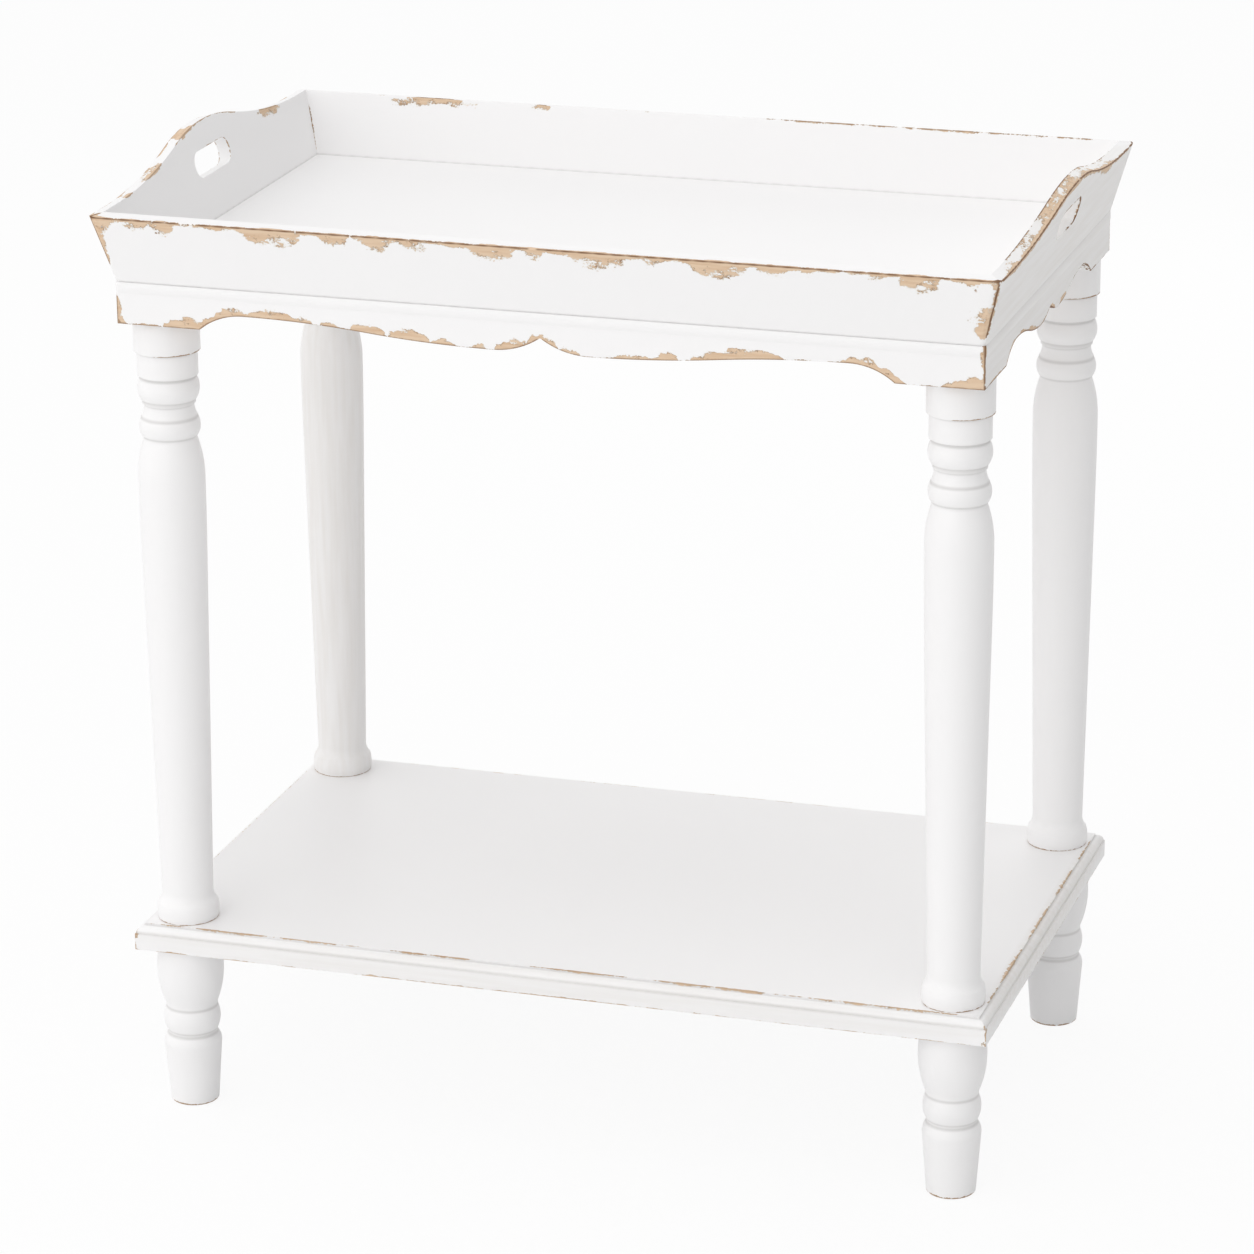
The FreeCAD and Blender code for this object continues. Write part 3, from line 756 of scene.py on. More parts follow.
def planed_pine(tree):
    """Planed pine left bare: matt and tan, with darker lines of late wood about 3 mm apart."""
    finish = bpy.context.scene.tray_table_finish
    place = add_node(tree, "TexCoord", output="Object")
    along_grain = add_node(tree, "Mapping", {"Vector": place, "Scale": GRAIN_STRETCH["across"]})
    streaks = add_node(
        tree, "TexNoise", {"Vector": along_grain, "Scale": 1 / PLANED_LINE, "Detail": 6.0, "Roughness": 0.6}
    )
    late = add_node(tree, "MapRange", [streaks, *PINE_LATE_WOOD])
    tones = {"Factor": late, "A": opaque(finish.wood), "B": opaque(finish.dark_wood)}
    surface = add_node(tree, "Mix", tones, MIXED_COLOUR, data_type="RGBA")
    bump = add_node(tree, "Bump", {"Strength": 0.6, "Distance": PLANED_RIDGE, "Height": streaks})
    return add_node(tree, "BsdfPrincipled", {"Base Color": surface, "Roughness": 0.7, "Normal": bump})


def zinc_plate(tree):
    """Bright zinc plating on steel: metallic, slightly dull, with a cloudy spangle of 1.5 mm."""
    zinc = opaque(bpy.context.scene.tray_table_finish.zinc)
    place = add_node(tree, "TexCoord", output="Object")
    spangle = add_node(tree, "TexNoise", {"Vector": place, "Scale": 1 / SPANGLE, "Detail": 4.0})
    roughness = add_node(tree, "MapRange", [spangle, *ZINC_ROUGHNESS])
    return add_node(tree, "BsdfPrincipled", {"Base Color": zinc, "Metallic": 1.0, "Roughness": roughness})


# Rubs, and boxes of painted shade, in millimetres

FRONT_RIM = along_arris(0, (0, -222, 690), 15, (
    (-325, 12, 9), (-300, 15, 7), (-279, 12, 11), (-196, 34, 13.5), (-148, 19, 8), (-118, 17, 11),
    (-88, 15, 7), (-31, 27, 12), (0, 10, 8), (47, 33, 11.5), (86, 14, 6), (134, 32, 13.5), (172, 16, 7),
    (200, 11, 5), (245, 14, 5), (278, 23, 12), (316, 9, 7),
)) + along_arris(0, (0, -215, 698), 5, ((-350, 110, 3.2), (-10, 700, 2.8), (350, 90, 3.2)))
BACK_RIM = along_arris(0, (0, 197, 696), 9, (
    (-262, 20, 2), (-219, 52, 5.5), (-130, 20, 3.2), (-40, 130, 1.8), (70, 70, 1.6),
))
BACK_RIM += along_arris(0, (0, 203, 702), 4, ((100, 55, 1.6), (190, 60, 1.8), (265, 45, 1.6)))
BACK_RIM += along_arris(0, (0, 213, 699), 4, ((0, 345, 1.5),))
BACK_FACE = along_arris(0, (0, 222, 690), 15, (
    (-318, 15, 8), (-240, 26, 10), (-176, 20, 6), (-96, 30, 11), (-20, 14, 6), (52, 28, 9), (120, 18, 5),
    (190, 32, 11), (268, 22, 8), (322, 12, 6),
))
LEFT_FACE = along_arris(1, (-344, 0, 694), 11, (
    (-150, 26, 6), (-62, 30, 8), (18, 18, 5), (96, 34, 9), (178, 20, 6),
))
LEFT_CREST = along_arris(1, (-331, 0, 709), 9, ((-32, 28, 12), (-105, 36, 7), (-156, 11, 6)))
LEFT_CREST += along_arris(1, (-326, 0, 703), 4, ((-20, 42, 1.6), (44, 22, 1.3)))
LEFT_CREST += along_arris(1, (-319, 0, 698), 10, ((122, 33, 5),))
LEFT_CREST += along_arris(1, (-337, 0, 700), 4, ((-170, 45, 1.5), (-40, 110, 1.0)))
RIGHT_CREST = along_arris(1, (339, 0, 706), 13, (
    (-10, 32, 5.5), (-62, 48, 4.8), (-122, 42, 3.8), (-172, 32, 3.2), (36, 36, 3.6), (104, 56, 3.2),
))
RIGHT_CREST += along_arris(1, (344, 0, 694), 11, ((112, 42, 8), (-163, 24, 5), (60, 20, 3.5), (190, 14, 3.5)))
RIGHT_CREST += along_arris(1, (337, 0, 700), 4, ((0, 600, 2.3),))
RIGHT_CREST += along_arris(1, (326, 0, 703), 3.5, ((-40, 130, 1.7), (90, 80, 1.2), (-18, 10, 4)))
FINGER_HOLES = [((-329, 8, 676), (16, 44, 16), 1.1), ((329, 8, 676), (16, 44, 16), 1.7)]
TRAY_FRONT_LEFT = [((-333, -208, 675), (12, 12, 29), 4.5)]
TRAY_FRONT_RIGHT = [((330, -207, 672), (14, 14, 28), 2)]
TRAY_BACK_LEFT = [((-330, 208, 668), (14, 14, 25), 4)]
TRAY_BACK_RIGHT = [((330, 207, 672), (14, 14, 28), 1.6)]
INNER_CORNER = [((-318, 196, 674), (12, 12, 24), 1.2)]
FRONT_RIGHT_CHIPS = [((336, -218, 697), (14, 9, 8), 5), ((321, -211, 665), (17, 12, 17), 9.5)]
APRON_FRONT = along_arris(0, (0, -208, 613), 17, (
    (-297, 15, 2), (-266, 23, 15), (-234, 17, 11), (-202, 26, 10), (-178, 10, 5), (-158, 7, 4),
    (-128, 18, 10), (-98, 21, 15), (-72, 9, 5), (-45, 8, 4), (-22, 15, 10), (-6, 6, 5), (6, 10, 6),
    (22, 7, 6), (68, 20, 3.5), (93, 10, 9), (144, 44, 13), (228, 8, 7), (240, 10, 12), (254, 12, 9),
    (300, 10, 5), (313, 17, 15), (0, 600, 1.3),
)) + [((321, -203, 640), (8, 6, 8), 4.5)]
APRON_RIGHT = along_arris(1, (336, 0, 613), 17, (
    (-55, 26, 15), (-88, 18, 10), (40, 26, 13), (8, 16, 8), (145, 20, 2.4), (110, 30, 3), (-118, 24, 6),
    (-165, 34, 6),
)) + [((325, -90, 617), (5, 170, 6), 2.8), ((325, 120, 617), (5, 130, 6), 1.6)]
APRON_BACK = along_arris(0, (0, 208, 613), 17, (
    (-305, 18, 12), (-250, 26, 11), (-190, 22, 8), (-110, 30, 13), (-52, 16, 6), (0, 14, 8), (64, 34, 11),
    (140, 20, 6), (205, 30, 12), (262, 24, 9), (310, 14, 10), (0, 600, 1),
))
APRON_LEFT = along_arris(1, (-332, 0, 613), 17, (
    (-176, 20, 11), (-120, 26, 8), (-58, 22, 12), (0, 14, 6), (66, 30, 11), (128, 20, 7), (180, 16, 10),
    (0, 600, 1),
))
APRON_FRONT_LEFT = [((-322, -200, 628), (7, 7, 12), 4)]
APRON_FRONT_RIGHT = [((322, -199, 632), (4, 4, 30), 1.9)]
APRON_BACK_LEFT = [((-322, 200, 630), (7, 7, 14), 4)]
APRON_BACK_RIGHT = [((322, 199, 632), (4, 4, 30), 1.6)]
SHELF = along_arris(0, (0, -191, 149.5), 5, (
    (-303, 17, 1.4), (-252, 30, 1.8), (-188, 42, 1.4), (-95, 35, 1.6), (20, 40, 1.3), (126, 49, 1.7),
    (240, 66, 1.6),
))
SHELF += along_arris(0, (0, -197, 130), 4, ((-300, 13, 1.5), (-135, 11, 2.2), (0, 320, 1.2)))
SHELF += along_arris(0, (0, 191, 149), 4, ((-200, 75, 1.3), (-80, 40, 1.1), (60, 80, 1.2), (215, 70, 1.3)))
SHELF += along_arris(1, (318, 0, 152), 7, (
    (150, 35, 1.8), (80, 45, 2.2), (0, 55, 2.2), (-90, 50, 2.4), (-150, 25, 1.8),
))
SHELF += along_arris(1, (-322, 0, 149), 4, ((0, 170, 1.2),))
SHELF += along_arris(1, (328, 0, 130), 4, ((0, 190, 1.2),))
SHELF += [((x, -197, 138), (4, 4, 12), 0.9) for x in (-328, 328)]
POSTS = [(x, y) for x in (-297, 297) for y in (-167, 167)]
LEG = [((x, y, 149.5), (30, 30, 3), 1.3) for x, y in POSTS]
LEG += [((x + 12, y, 593), (22, 30, 2), 1.4) for x, y in POSTS]
FOOT = [((x, y, 0), (25, 25, 5), 1.2) for x, y in POSTS]

# For each piece: width of bare wood along all its arrises, how dark its arrises are handled, and its rubs
WEAR = {
    "tray_front_side_board": (
        0.1, 1, FRONT_RIM + TRAY_FRONT_LEFT + TRAY_FRONT_RIGHT + FRONT_RIGHT_CHIPS,
    ),
    "tray_back_side_board": (
        0.1, 0.8, BACK_RIM + BACK_FACE + TRAY_BACK_LEFT + TRAY_BACK_RIGHT + INNER_CORNER,
    ),
    "tray_left_end_board": (
        0.1, 0.45, LEFT_CREST + LEFT_FACE + TRAY_FRONT_LEFT + TRAY_BACK_LEFT + INNER_CORNER + FINGER_HOLES,
    ),
    "tray_right_end_board": (0.1, 1, RIGHT_CREST + TRAY_FRONT_RIGHT + TRAY_BACK_RIGHT + FINGER_HOLES),
    "tray_floor_panel": (0, 0, ()),
    "apron_board_front": (0.1, 0.7, APRON_FRONT + APRON_FRONT_LEFT + APRON_FRONT_RIGHT),
    "apron_board_back": (0.3, 0.7, APRON_BACK + APRON_BACK_LEFT + APRON_BACK_RIGHT),
    "apron_board_left": (0.3, 0.7, APRON_LEFT + APRON_FRONT_LEFT + APRON_BACK_LEFT),
    "apron_board_right": (0.1, 1, APRON_RIGHT + APRON_FRONT_RIGHT + APRON_BACK_RIGHT),
    "shelf_board": (0.1, 0.35, SHELF),
}
for corner in CORNERS:
    WEAR["_".join(("turned_leg", *corner))] = (0.05, 0.6, LEG)
    WEAR["_".join(("turned_foot", *corner))] = (0.05, 0.5, FOOT)

# Where painted shade darkens the paint: the right-facing faces, the back left leg and the shelf's right and
# front edges, and how strongly
PAINTED_SHADE_BOXES = {
    "shelf_board": [((326, 0, 142), (10, 205, 14), 0.3), ((0, -197, 140), (345, 5, 16), 0.16)],
    "turned_leg_back_left": [((-297, 167, 370), (40, 40, 330), 0.25)],
    "tray_right_end_board": [((333, 0, 655), (30, 260, 70), 0.25)],
    "apron_board_right": [((322, 0, 610), (20, 260, 60), 0.25)],
}


# Pieces

ROD_BORE = 4.15 * MM
TURNED_ROUND = 0.35 * MM
SHELF_ARRIS = 0.3 * MM
APRON_ROUND = 0.5 * MM
TRAY_ROUND = 1.2 * MM
FLOOR_ROUND = 0.3 * MM
APRON_CORNER = 4 * MM
TRAY_CORNER = 6 * MM
SEAM_REACH = 0.2 * MM
HOLE_STEPS = 14

# How finely the meshes are divided, so that wear has vertices to sit on
TURNED_SLICE = 3 * MM
SHELF_SLICE = 6 * MM
BOARD_SLICE = 4 * MM
TRAY_EDGE_SLICE = 3.3 * MM
FLOOR_SLICE = 20 * MM


def leg_rows(sizes, low, high):
    """Heights and radii of the leg, from the bore at its foot to the bore at its top."""
    shaft_bottom = low + sizes.base_height + sizes.base_flare
    collar = high - sizes.upper_collar_height
    lower_collar = collar - sizes.lower_collar_height
    upper_bead_top = lower_collar - sizes.groove_height
    upper_bead = upper_bead_top - sizes.upper_bead_height
    cove_top = upper_bead - sizes.fillet_height
    cove = cove_top - sizes.cove_height
    lower_bead = cove - sizes.lower_bead_height
    neck = lower_bead - sizes.neck_height
    fattest = (neck - sizes.shaft_shoulder, sizes.shaft_radius)
    swell = (fattest[0] - shaft_bottom) * sizes.shaft_swell
    taper = (sizes.shaft_radius - sizes.shaft_foot_radius) / (fattest[0] - shaft_bottom - swell / 2)
    swell_foot = (fattest[0] - swell, sizes.shaft_radius - taper * swell / 2)
    edge = sizes.base_radius - sizes.base_roll
    rows = [(low + sizes.foot_bore_depth, ROD_BORE), (low, ROD_BORE), (low, edge)]
    rows += bead((low, edge), sizes.base_height, sizes.base_radius, steps=5)
    rows += arc_to_level(rows[-1], (shaft_bottom, sizes.shaft_foot_radius), steps=8)
    rows += straight(rows[-1], swell_foot, steps=24)
    rows += arc_to_level(swell_foot, fattest, steps=8)
    rows += arc(fattest, (neck, sizes.neck_radius), steps=12)
    rows += [(lower_bead, sizes.neck_radius), (lower_bead, sizes.lower_bead_seat)]
    rows += bead(rows[-1], sizes.lower_bead_height, sizes.lower_bead_radius, steps=7)
    rows.append((cove, sizes.cove_mouth))
    rows += arc_to_level(rows[-1], (cove_top, sizes.cove_radius), steps=8)
    rows += [(cove_top, sizes.fillet_radius), (upper_bead, sizes.fillet_radius)]
    rows.append((upper_bead, sizes.upper_bead_seat))
    rows += bead(rows[-1], sizes.upper_bead_height, sizes.upper_bead_radius, steps=8)
    rows += [(upper_bead_top, sizes.groove_radius), (lower_collar, sizes.groove_radius)]
    rows += [(lower_collar, sizes.lower_collar_radius), (collar, sizes.lower_collar_radius)]
    rows += [(collar, sizes.upper_collar_radius), (high, sizes.upper_collar_radius)]
    return rows + [(high, ROD_BORE), (high - sizes.top_bore_depth, ROD_BORE)]


def foot_rows(sizes, low, high):
    """Heights and radii of the foot, from the floor to the bore at its top."""
    bulb = (high - sizes.bulb_upper, sizes.bulb_radius)
    bulb_bottom = bulb[0] - sizes.bulb_lower
    ring_top = bulb_bottom - sizes.neck_height
    ring = ring_top - sizes.ring_height
    cone_top = ring - sizes.groove_height
    cone_end = (cone_top - sizes.shoulder, sizes.cone_radius)
    rows = [(low, sizes.bottom_radius - sizes.bottom_chamfer)]
    rows.append((low + sizes.bottom_chamfer, sizes.bottom_radius))
    rows += straight(rows[-1], cone_end, steps=6)
    rows += arc(cone_end, (cone_top, sizes.groove_radius), steps=8)
    rows += [(ring, sizes.groove_radius), (ring, sizes.ring_seat)]
    rows += bead(rows[-1], sizes.ring_height, sizes.ring_radius, steps=7)
    rows += [(ring_top, sizes.neck_radius), (bulb_bottom, sizes.neck_radius)]
    rows += arc_to_level(rows[-1], bulb, steps=10)
    rows += arc(bulb, (high, sizes.top_radius), steps=8)
    return rows + [(high, ROD_BORE), (high - sizes.bore_depth, ROD_BORE)]


def turn_four(kind, rows, sizes):
    """Turns one leg or foot and stands a copy of it at each corner."""
    low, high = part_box(kind + "_front_left")
    middle = (low + high) / 2
    blank = turned(kind + "_blank", middle, rows(sizes, low.z, high.z))
    outer, inner = sharp_points(blank)
    soften(blank, TURNED_ROUND)
    slice_evenly(blank, low, UP, high.z - low.z, TURNED_SLICE)
    copies = []
    for corner in CORNERS:
        node = "_".join((kind, *corner))
        node_low, node_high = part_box(node)
        copies.append(("turned_" + node, node, Matrix.Translation((node_low + node_high) / 2 - middle)))
    stand_copies(blank, copies, "upright", outer, inner)


class TRAYTABLE_OT_turned_legs(bpy.types.Operator):
    """Turn the four legs"""

    bl_idname = "tray_table.turned_legs"
    bl_label = "Turned legs"

    def execute(self, context):
        turn_four("leg", leg_rows, context.scene.tray_table_legs)
        return {"FINISHED"}


class TRAYTABLE_OT_turned_feet(bpy.types.Operator):
    """Turn the four feet"""

    bl_idname = "tray_table.turned_feet"
    bl_label = "Turned feet"

    def execute(self, context):
        turn_four("foot", foot_rows, context.scene.tray_table_feet)
        return {"FINISHED"}


class TRAYTABLE_OT_shelf(bpy.types.Operator):
    """Make the shelf board with its moulded edge"""

    bl_idname = "tray_table.shelf"
    bl_label = "Shelf"

    def execute(self, context):
        sizes = context.scene.tray_table_boards
        low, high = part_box("shelf")
        start_fresh()
        bpy.ops.mesh.primitive_plane_add(size=2)
        piece = just_added("shelf_board")
        piece.scale = (high.x, high.y, 1)
        piece.location.z = low.z
        settle()
        band_top = low.z + sizes.shelf_band
        round_foot = (sizes.shelf_step, band_top)
        round_top = (sizes.shelf_step + sizes.shelf_round, band_top + sizes.shelf_round)
        edge = [(0, low.z), (0, band_top), round_foot]
        edge += arc_to_level(round_foot, round_top, steps=8) + [(round_top[0], high.z)]
        draw_up(piece, ORIGIN, [(height, high.x - inset, high.y - inset) for inset, height in edge])
        outer, inner = sharp_points(piece)
        soften(piece, SHELF_ARRIS)
        slice_evenly(piece, low, ALONG, high.x - low.x, SHELF_SLICE)
        slice_evenly(piece, low, ACROSS, high.y - low.y, SHELF_SLICE)
        slice_evenly(piece, low, UP, sizes.shelf_band, BOARD_SLICE)
        mark_wear(piece, outer, inner)
        finish_piece(piece, "shelf", "along")
        return {"FINISHED"}


class TRAYTABLE_OT_apron(bpy.types.Operator):
    """Make the four apron boards with their bead and their scalloped bottom edge"""

    bl_idname = "tray_table.apron"
    bl_label = "Apron"

    def scallop(self, sizes, half_along, dip, cusp_rise):
        """Outline of what the saw takes from under a board."""
        flat_end = (-half_along + sizes.scallop_flat, 0)
        arch_top = (flat_end[0] + sizes.arch_run, sizes.arch_rise)
        left = [(-half_along - OVERRUN, -OVERRUN), (-half_along - OVERRUN, 0), flat_end]
        left += arc_to_level(flat_end, arch_top, steps=12)
        left += ogee(arch_top, dip, share=0.5, steps=14)
        left += arc(dip, (0, cusp_rise), steps=12)
        return with_mirror(left)

    def board(self, sizes, half_along, half_across, low, high, outline):
        """Front board: a moulded section run along it, sawn underneath and mitred."""
        face = -half_across + sizes.bead_proud
        back = face + sizes.apron_board
        bead_foot = high - sizes.bead_height
        start = -half_along - OVERRUN
        half_round = bead((bead_foot, -face), sizes.bead_height, half_across, steps=8)
        section = [(face, low), (face, bead_foot)] + [(-depth, height) for height, depth in half_round]
        section += [(back, high), (back, low)]
        piece = slab("apron_blank", [(start, y, z) for y, z in section], ALONG * (-2 * start))
        under = [(x, face - OVERRUN, low + z) for x, z in outline]
        carve(piece, slab("scallop", under, ACROSS * (sizes.apron_board + 2 * OVERRUN)))
        gauge = copied(piece, "gauge")
        mitre(gauge, half_along, half_across)
        outer, inner = sharp_points(gauge)
        delete(gauge)
        soften(piece, APRON_ROUND)
        mitre(piece, half_along, half_across)
        outer = round_corners(piece, outer, half_along, half_across, low, high, 0, APRON_CORNER)
        slice_evenly(piece, ALONG * -half_along, ALONG, 2 * half_along, BOARD_SLICE)
        slice_evenly(piece, UP * low, UP, high - low, BOARD_SLICE)
        return piece, outer, inner

    def execute(self, context):
        sizes = context.scene.tray_table_boards
        low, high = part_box("apron_front")
        half_length, half_width = high.x, -low.y
        front_dip = (-sizes.front_cusp_run, sizes.front_dip_rise)
        end_dip = (-sizes.end_cusp_run, sizes.end_dip_rise)
        for half_along, half_across, dip, cusp_rise, grain, places in (
            (half_length, half_width, front_dip, sizes.front_cusp_rise, "along", SIDES),
            (half_width, half_length, end_dip, sizes.end_cusp_rise, "across", ENDS),
        ):
            outline = self.scallop(sizes, half_along - sizes.bead_proud, dip, cusp_rise)
            blank, outer, inner = self.board(sizes, half_along, half_across, low.z, high.z, outline)
            copies = [("apron_board_" + name, "apron_" + name, quarter_turn(turn)) for name, turn in places]
            stand_copies(blank, copies, grain, outer, inner, outline=outline)
        return {"FINISHED"}


class TRAYTABLE_OT_tray(bpy.types.Operator):
    """Make the tray's flared sides and its crested ends with their finger holes"""

    bl_idname = "tray_table.tray"
    bl_label = "Tray boards"

    def leant(self, foot, slope, outline):
        """Outline of a flat board, leant out on its foot."""
        return [foot + ALONG * along + slope * up for along, up in outline]

    def finger_hole(self, sizes, middle):
        """Outline of a finger hole: a slot with round ends."""
        radius = sizes.hole_height / 2
        half = sizes.hole_length / 2 - radius
        turns = [math.pi * step / HOLE_STEPS - math.pi / 2 for step in range(HOLE_STEPS + 1)]
        right = [(half + radius * math.cos(turn), middle + radius * math.sin(turn)) for turn in turns]
        return right + [(-along, up) for along, up in reversed(right)]

    def fit(self, piece, half_along, half_across, floor_half):
        """Mitres a board and rabbets it for the floor panel."""
        low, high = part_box("tray_floor")
        mitre(piece, half_along, half_across)
        reach = Vector((*floor_half, high.z - low.z))
        carve(piece, block_between("rabbet", UP * low.z - reach, UP * low.z + reach))

    def board(self, sizes, half_along, half_across, floor_half, crest):
        """Front board: an outline cut from a flat board, leant out, rabbeted for the floor and mitred."""
        low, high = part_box("tray_floor")
        slope = Vector((0, -math.sin(sizes.flare_angle), math.cos(sizes.flare_angle)))
        inward = Vector((0, math.cos(sizes.flare_angle), math.sin(sizes.flare_angle)))
        lean = -slope.y / slope.z
        foot = Vector((0, -half_across, low.z))
        rim = sizes.tray_rise / slope.z
        top = rim + crest / slope.z
        reach = half_along + (sizes.tray_rise + crest) * lean + OVERRUN
        left = [(-reach, -sizes.tray_board * lean - OVERRUN), (-reach, rim)]
        if crest:
            left.append((-(half_along + sizes.tray_rise * lean - sizes.rim_flat), rim))
            left += ogee(left[-1], (0, top), 1 - sizes.crest_turn, steps=16)
        outline = with_mirror(left)
        piece = slab("tray_blank", self.leant(foot, slope, outline), inward * sizes.tray_board)
        saw_off(piece, (foot, -UP))
        if crest:
            hole = self.leant(foot - inward * OVERRUN, slope, self.finger_hole(sizes, top - sizes.hole_drop))
            carve(piece, slab("finger_hole", hole, inward * (sizes.tray_board + 2 * OVERRUN)))
        gauge = copied(piece, "gauge")
        self.fit(gauge, half_along, half_across, floor_half)
        sharp, inner = sharp_points(gauge)
        delete(gauge)
        outer = []
        # Arrises along the seams with the apron and the floor panel go with the recesses, so that painted
        # shade darkens them into a shadow line
        for point in sharp:
            in_seam = min(abs(point.z - low.z), abs(point.z - high.z)) < SEAM_REACH
            (inner if in_seam else outer).append(point)
        soften(piece, TRAY_ROUND, segments=3)
        self.fit(piece, half_along, half_across, floor_half)
        outer = round_corners(piece, outer, half_along, half_across, low.z, low.z + top, lean, TRAY_CORNER)
        slice_evenly(piece, ALONG * -reach, ALONG, 2 * reach, BOARD_SLICE)
        slice_evenly(piece, foot, slope, top, BOARD_SLICE)
        slice_evenly(piece, foot, inward, sizes.tray_board, TRAY_EDGE_SLICE)
        return piece, outer, inner, slope, [(along, up - rim) for along, up in outline]

    def execute(self, context):
        sizes = context.scene.tray_table_boards
        apron_low, apron_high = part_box("apron_front")
        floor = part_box("tray_floor")[1]
        half_length, half_width = apron_high.x, -apron_low.y
        for half_along, half_across, floor_half, crest, grain, kind, places in (
            (half_length, half_width, (floor.x, floor.y), 0.0, "along", "_side", SIDES),
            (half_width, half_length, (floor.y, floor.x), sizes.crest_rise, "across", "_end", ENDS),
        ):
            blank, outer, inner, slope, outline = self.board(
                sizes, half_along, half_across, floor_half, crest
            )
            copies = []
            for name, turn in places:
                node = "tray_" + name + kind
                copies.append((node + "_board", node, quarter_turn(turn)))
            stand_copies(blank, copies, grain, outer, inner, slope, outline)
        return {"FINISHED"}


class TRAYTABLE_OT_tray_floor(bpy.types.Operator):
    """Make the tray's floor panel"""

    bl_idname = "tray_table.tray_floor"
    bl_label = "Tray floor"

    def execute(self, context):
        low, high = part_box("tray_floor")
        piece = block_between("tray_floor_panel", low, high)
        soften(piece, FLOOR_ROUND)
        slice_evenly(piece, low, ALONG, high.x - low.x, FLOOR_SLICE)
        slice_evenly(piece, low, ACROSS, high.y - low.y, FLOOR_SLICE)
        mark_wear(piece)
        finish_piece(piece, "tray_floor", "along")
        return {"FINISHED"}


METAL_PARTS = ("screws", "brads", "bolts", "washers", "nuts")
WOODEN_PARTS = ("block", "batten")


class TRAYTABLE_OT_hidden_parts(bpy.types.Operator):
    """Finish the corner blocks, the battens and the fasteners, whose shapes come from the frame"""

    bl_idname = "tray_table.hidden_parts"
    bl_label = "Blocks and fasteners"

    def execute(self, context):
        for name, node in frame["nodes"].items():
            if any(part in name for part in METAL_PARTS):
                material = material_of("zinc_plated_steel", zinc_plate)
            elif any(part in name for part in WOODEN_PARTS):
                material = material_of("planed_bare_pine", planed_pine)
            else:
                continue
            node.data.materials.clear()
            node.data.materials.append(material)
        return {"FINISHED"}


# Stage

PAPER = "#F2F2F2"
PAPER_LIFT = 0.9
PAPER_SIZE = 40
BRIGHT_SIDE = (-0.69, -0.36, 0.62)
SENSOR_WIDTH = 36

# Place and size of each square light
SOFTBOXES = {
    "key": ((-0.5, -2.4, 1.3), 2.0),
    "top": ((0.5, -0.2, 3.2), 2.6),
    "fill": ((-0.1, 2.4, 1.3), 2.0),
}


def seen_directly(tree):
    """One for rays from the camera, a reflection or a clear material."""
    seen = 0.0
    for kind in ("Is Camera Ray", "Is Glossy Ray", "Is Transmission Ray"):
        ray = add_node(tree, "LightPath", output=kind)
        seen = add_node(tree, "Math", [seen, ray], operation="MAXIMUM")
    return seen


def white_paper(tree):
    """Paper backdrop: matt, seen as almost pure white, with a faint shadow."""
    paper = add_node(tree, "BsdfDiffuse", {"Color": opaque(linear(PAPER))})
    glow = add_node(tree, "Emission", {"Color": WHITE, "Strength": 1.0})
    lift = add_node(tree, "Math", [seen_directly(tree), PAPER_LIFT], operation="MULTIPLY")
    return add_node(tree, "MixShader", [lift, paper, glow])


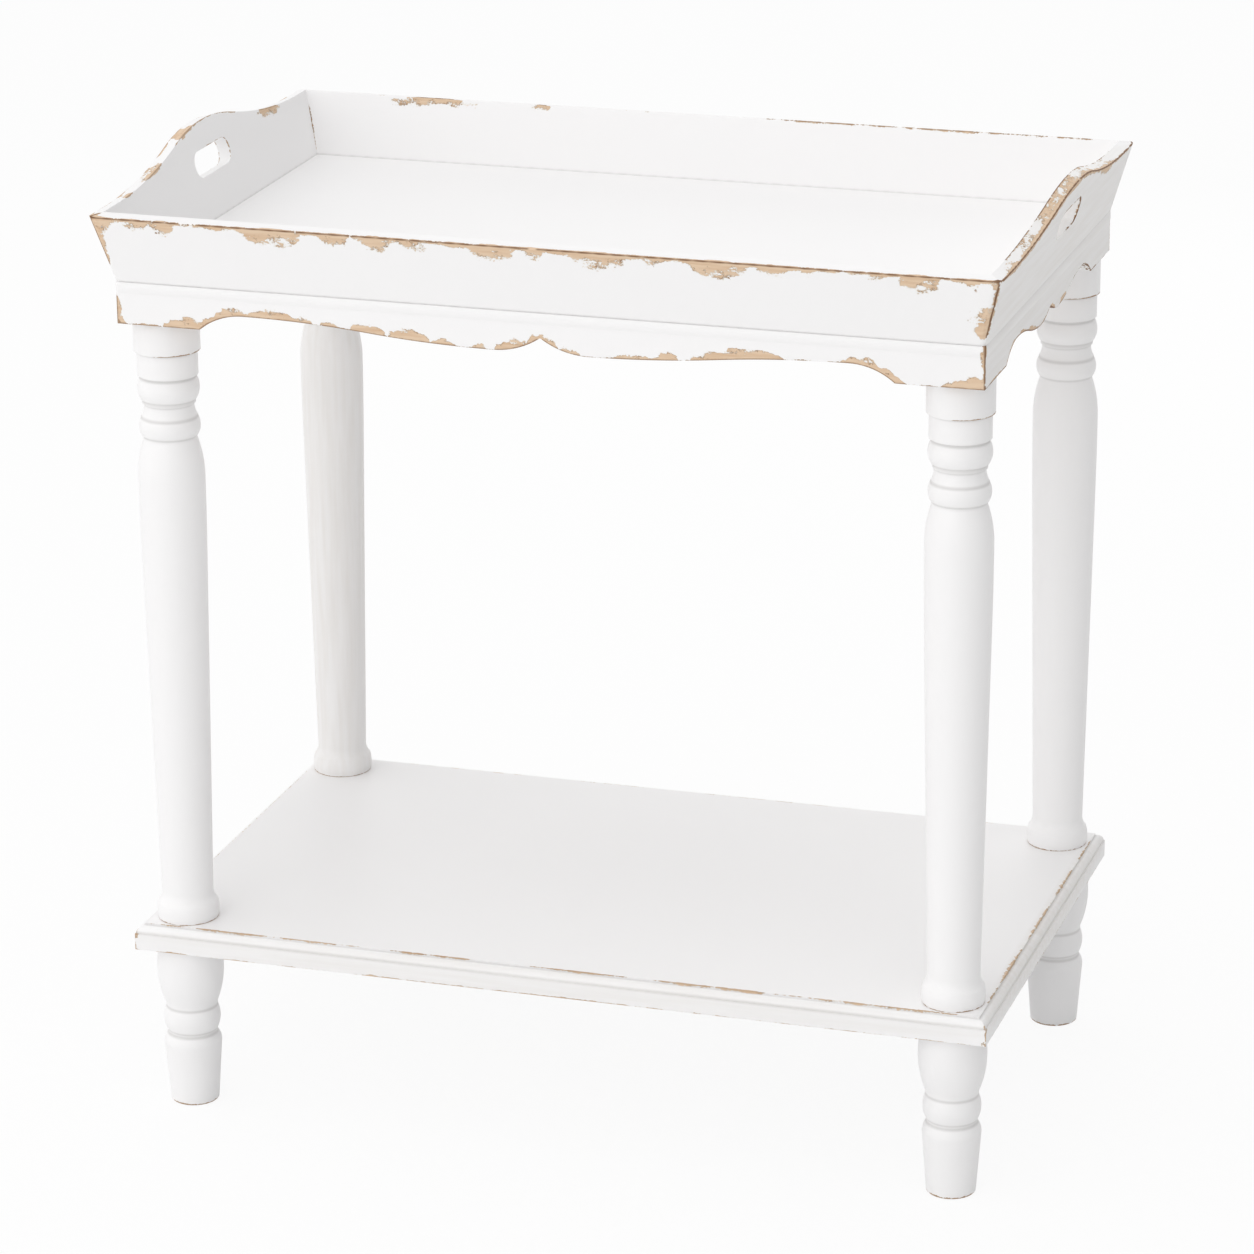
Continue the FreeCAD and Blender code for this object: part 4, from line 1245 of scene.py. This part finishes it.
class TRAYTABLE_OT_stage(bpy.types.Operator):
    """Set the floor, the lights and the camera"""

    bl_idname = "tray_table.stage"
    bl_label = "Stage"

    def floor(self):
        """White paper floor that keeps a faint shadow."""
        start_fresh()
        bpy.ops.mesh.primitive_plane_add(size=PAPER_SIZE)
        floor = just_added("paper_floor")
        floor.data.materials.append(material_of("white_paper_backdrop", white_paper))

    def world(self, settings):
        """White light all round, stronger from the front left and above, seen as pure white."""
        world = bpy.data.worlds.new("white_studio")
        bpy.context.scene.world = world
        world.use_nodes = True
        tree = world.node_tree
        tree.nodes.clear()
        way = add_node(tree, "TexCoord", output="Generated")
        towards = add_node(tree, "VectorMath", [way, BRIGHT_SIDE], "Value", operation="DOT_PRODUCT")
        around = [towards, settings.tilt, settings.ambient]
        strength = add_node(tree, "Math", around, operation="MULTIPLY_ADD")
        levels = {"Factor": seen_directly(tree), "A": strength, "B": 1.0}
        shown = add_node(tree, "Mix", levels, data_type="FLOAT")
        sky = add_node(tree, "Background", {"Color": WHITE, "Strength": shown})
        add_node(tree, "OutputWorld", {"Surface": sky})

    def softbox(self, name, place, aim, size, watts):
        """Square light that faces a point."""
        start_fresh()
        bpy.ops.object.light_add(type="AREA", location=place)
        light = just_added(name)
        light.data.size = size
        light.data.energy = watts
        light.rotation_euler = (Vector(place) - aim).to_track_quat("Z", "Y").to_euler()

    def camera(self, settings, aim):
        """Camera that sees the table as the photograph does."""
        level = math.cos(settings.elevation)
        x, y, z = math.sin(settings.azimuth), -math.cos(settings.azimuth), math.sin(settings.elevation)
        back = Vector((x * level, y * level, z))
        start_fresh()
        bpy.ops.object.camera_add(location=aim + back * settings.distance)
        camera = just_added("photo_camera")
        camera.data.lens = settings.lens
        camera.data.sensor_width = SENSOR_WIDTH
        turn = back.to_track_quat("Z", "Y") @ Matrix.Rotation(settings.roll, 3, "Z").to_quaternion()
        camera.rotation_euler = turn.to_euler()
        bpy.context.scene.camera = camera

    def execute(self, context):
        settings = context.scene.tray_table_stage
        aim = Vector(settings.aim)
        self.floor()
        self.world(settings)
        for name, (place, size) in SOFTBOXES.items():
            self.softbox(name + "_softbox", place, aim, size, getattr(settings, name))
        self.camera(settings, aim)
        context.scene.view_settings.view_transform = "Standard"
        return {"FINISHED"}


class TRAYTABLE_PT_panel(bpy.types.Panel):
    """Lists the steps that make the table"""

    bl_idname = "TRAYTABLE_PT_panel"
    bl_label = "Tray Table"
    bl_space_type = "VIEW_3D"
    bl_region_type = "UI"
    bl_category = "Tray Table"

    def draw(self, context):
        for step in STEPS:
            self.layout.operator(step.bl_idname)


GROUPS = {
    "tray_table_legs": TRAYTABLE_PG_legs,
    "tray_table_feet": TRAYTABLE_PG_feet,
    "tray_table_boards": TRAYTABLE_PG_boards,
    "tray_table_finish": TRAYTABLE_PG_finish,
    "tray_table_stage": TRAYTABLE_PG_stage,
}
STEPS = (
    TRAYTABLE_OT_turned_legs,
    TRAYTABLE_OT_turned_feet,
    TRAYTABLE_OT_shelf,
    TRAYTABLE_OT_apron,
    TRAYTABLE_OT_tray,
    TRAYTABLE_OT_tray_floor,
    TRAYTABLE_OT_hidden_parts,
    TRAYTABLE_OT_stage,
)


def register():
    """Registers the settings, the steps and the panel."""
    for name, group in GROUPS.items():
        bpy.utils.register_class(group)
        setattr(bpy.types.Scene, name, PointerProperty(type=group))
    for step in STEPS:
        bpy.utils.register_class(step)
    bpy.utils.register_class(TRAYTABLE_PT_panel)


def unregister():
    """Takes the panel, the steps and the settings away again."""
    bpy.utils.unregister_class(TRAYTABLE_PT_panel)
    for step in reversed(STEPS):
        bpy.utils.unregister_class(step)
    for name, group in GROUPS.items():
        delattr(bpy.types.Scene, name)
        bpy.utils.unregister_class(group)


def main():
    """Makes the table and its stage."""
    register()
    bpy.ops.tray_table.turned_legs()
    bpy.ops.tray_table.turned_feet()
    bpy.ops.tray_table.shelf()
    bpy.ops.tray_table.apron()
    bpy.ops.tray_table.tray()
    bpy.ops.tray_table.tray_floor()
    bpy.ops.tray_table.hidden_parts()
    bpy.ops.tray_table.stage()
    start_fresh()


if __name__ == "__main__":
    main()
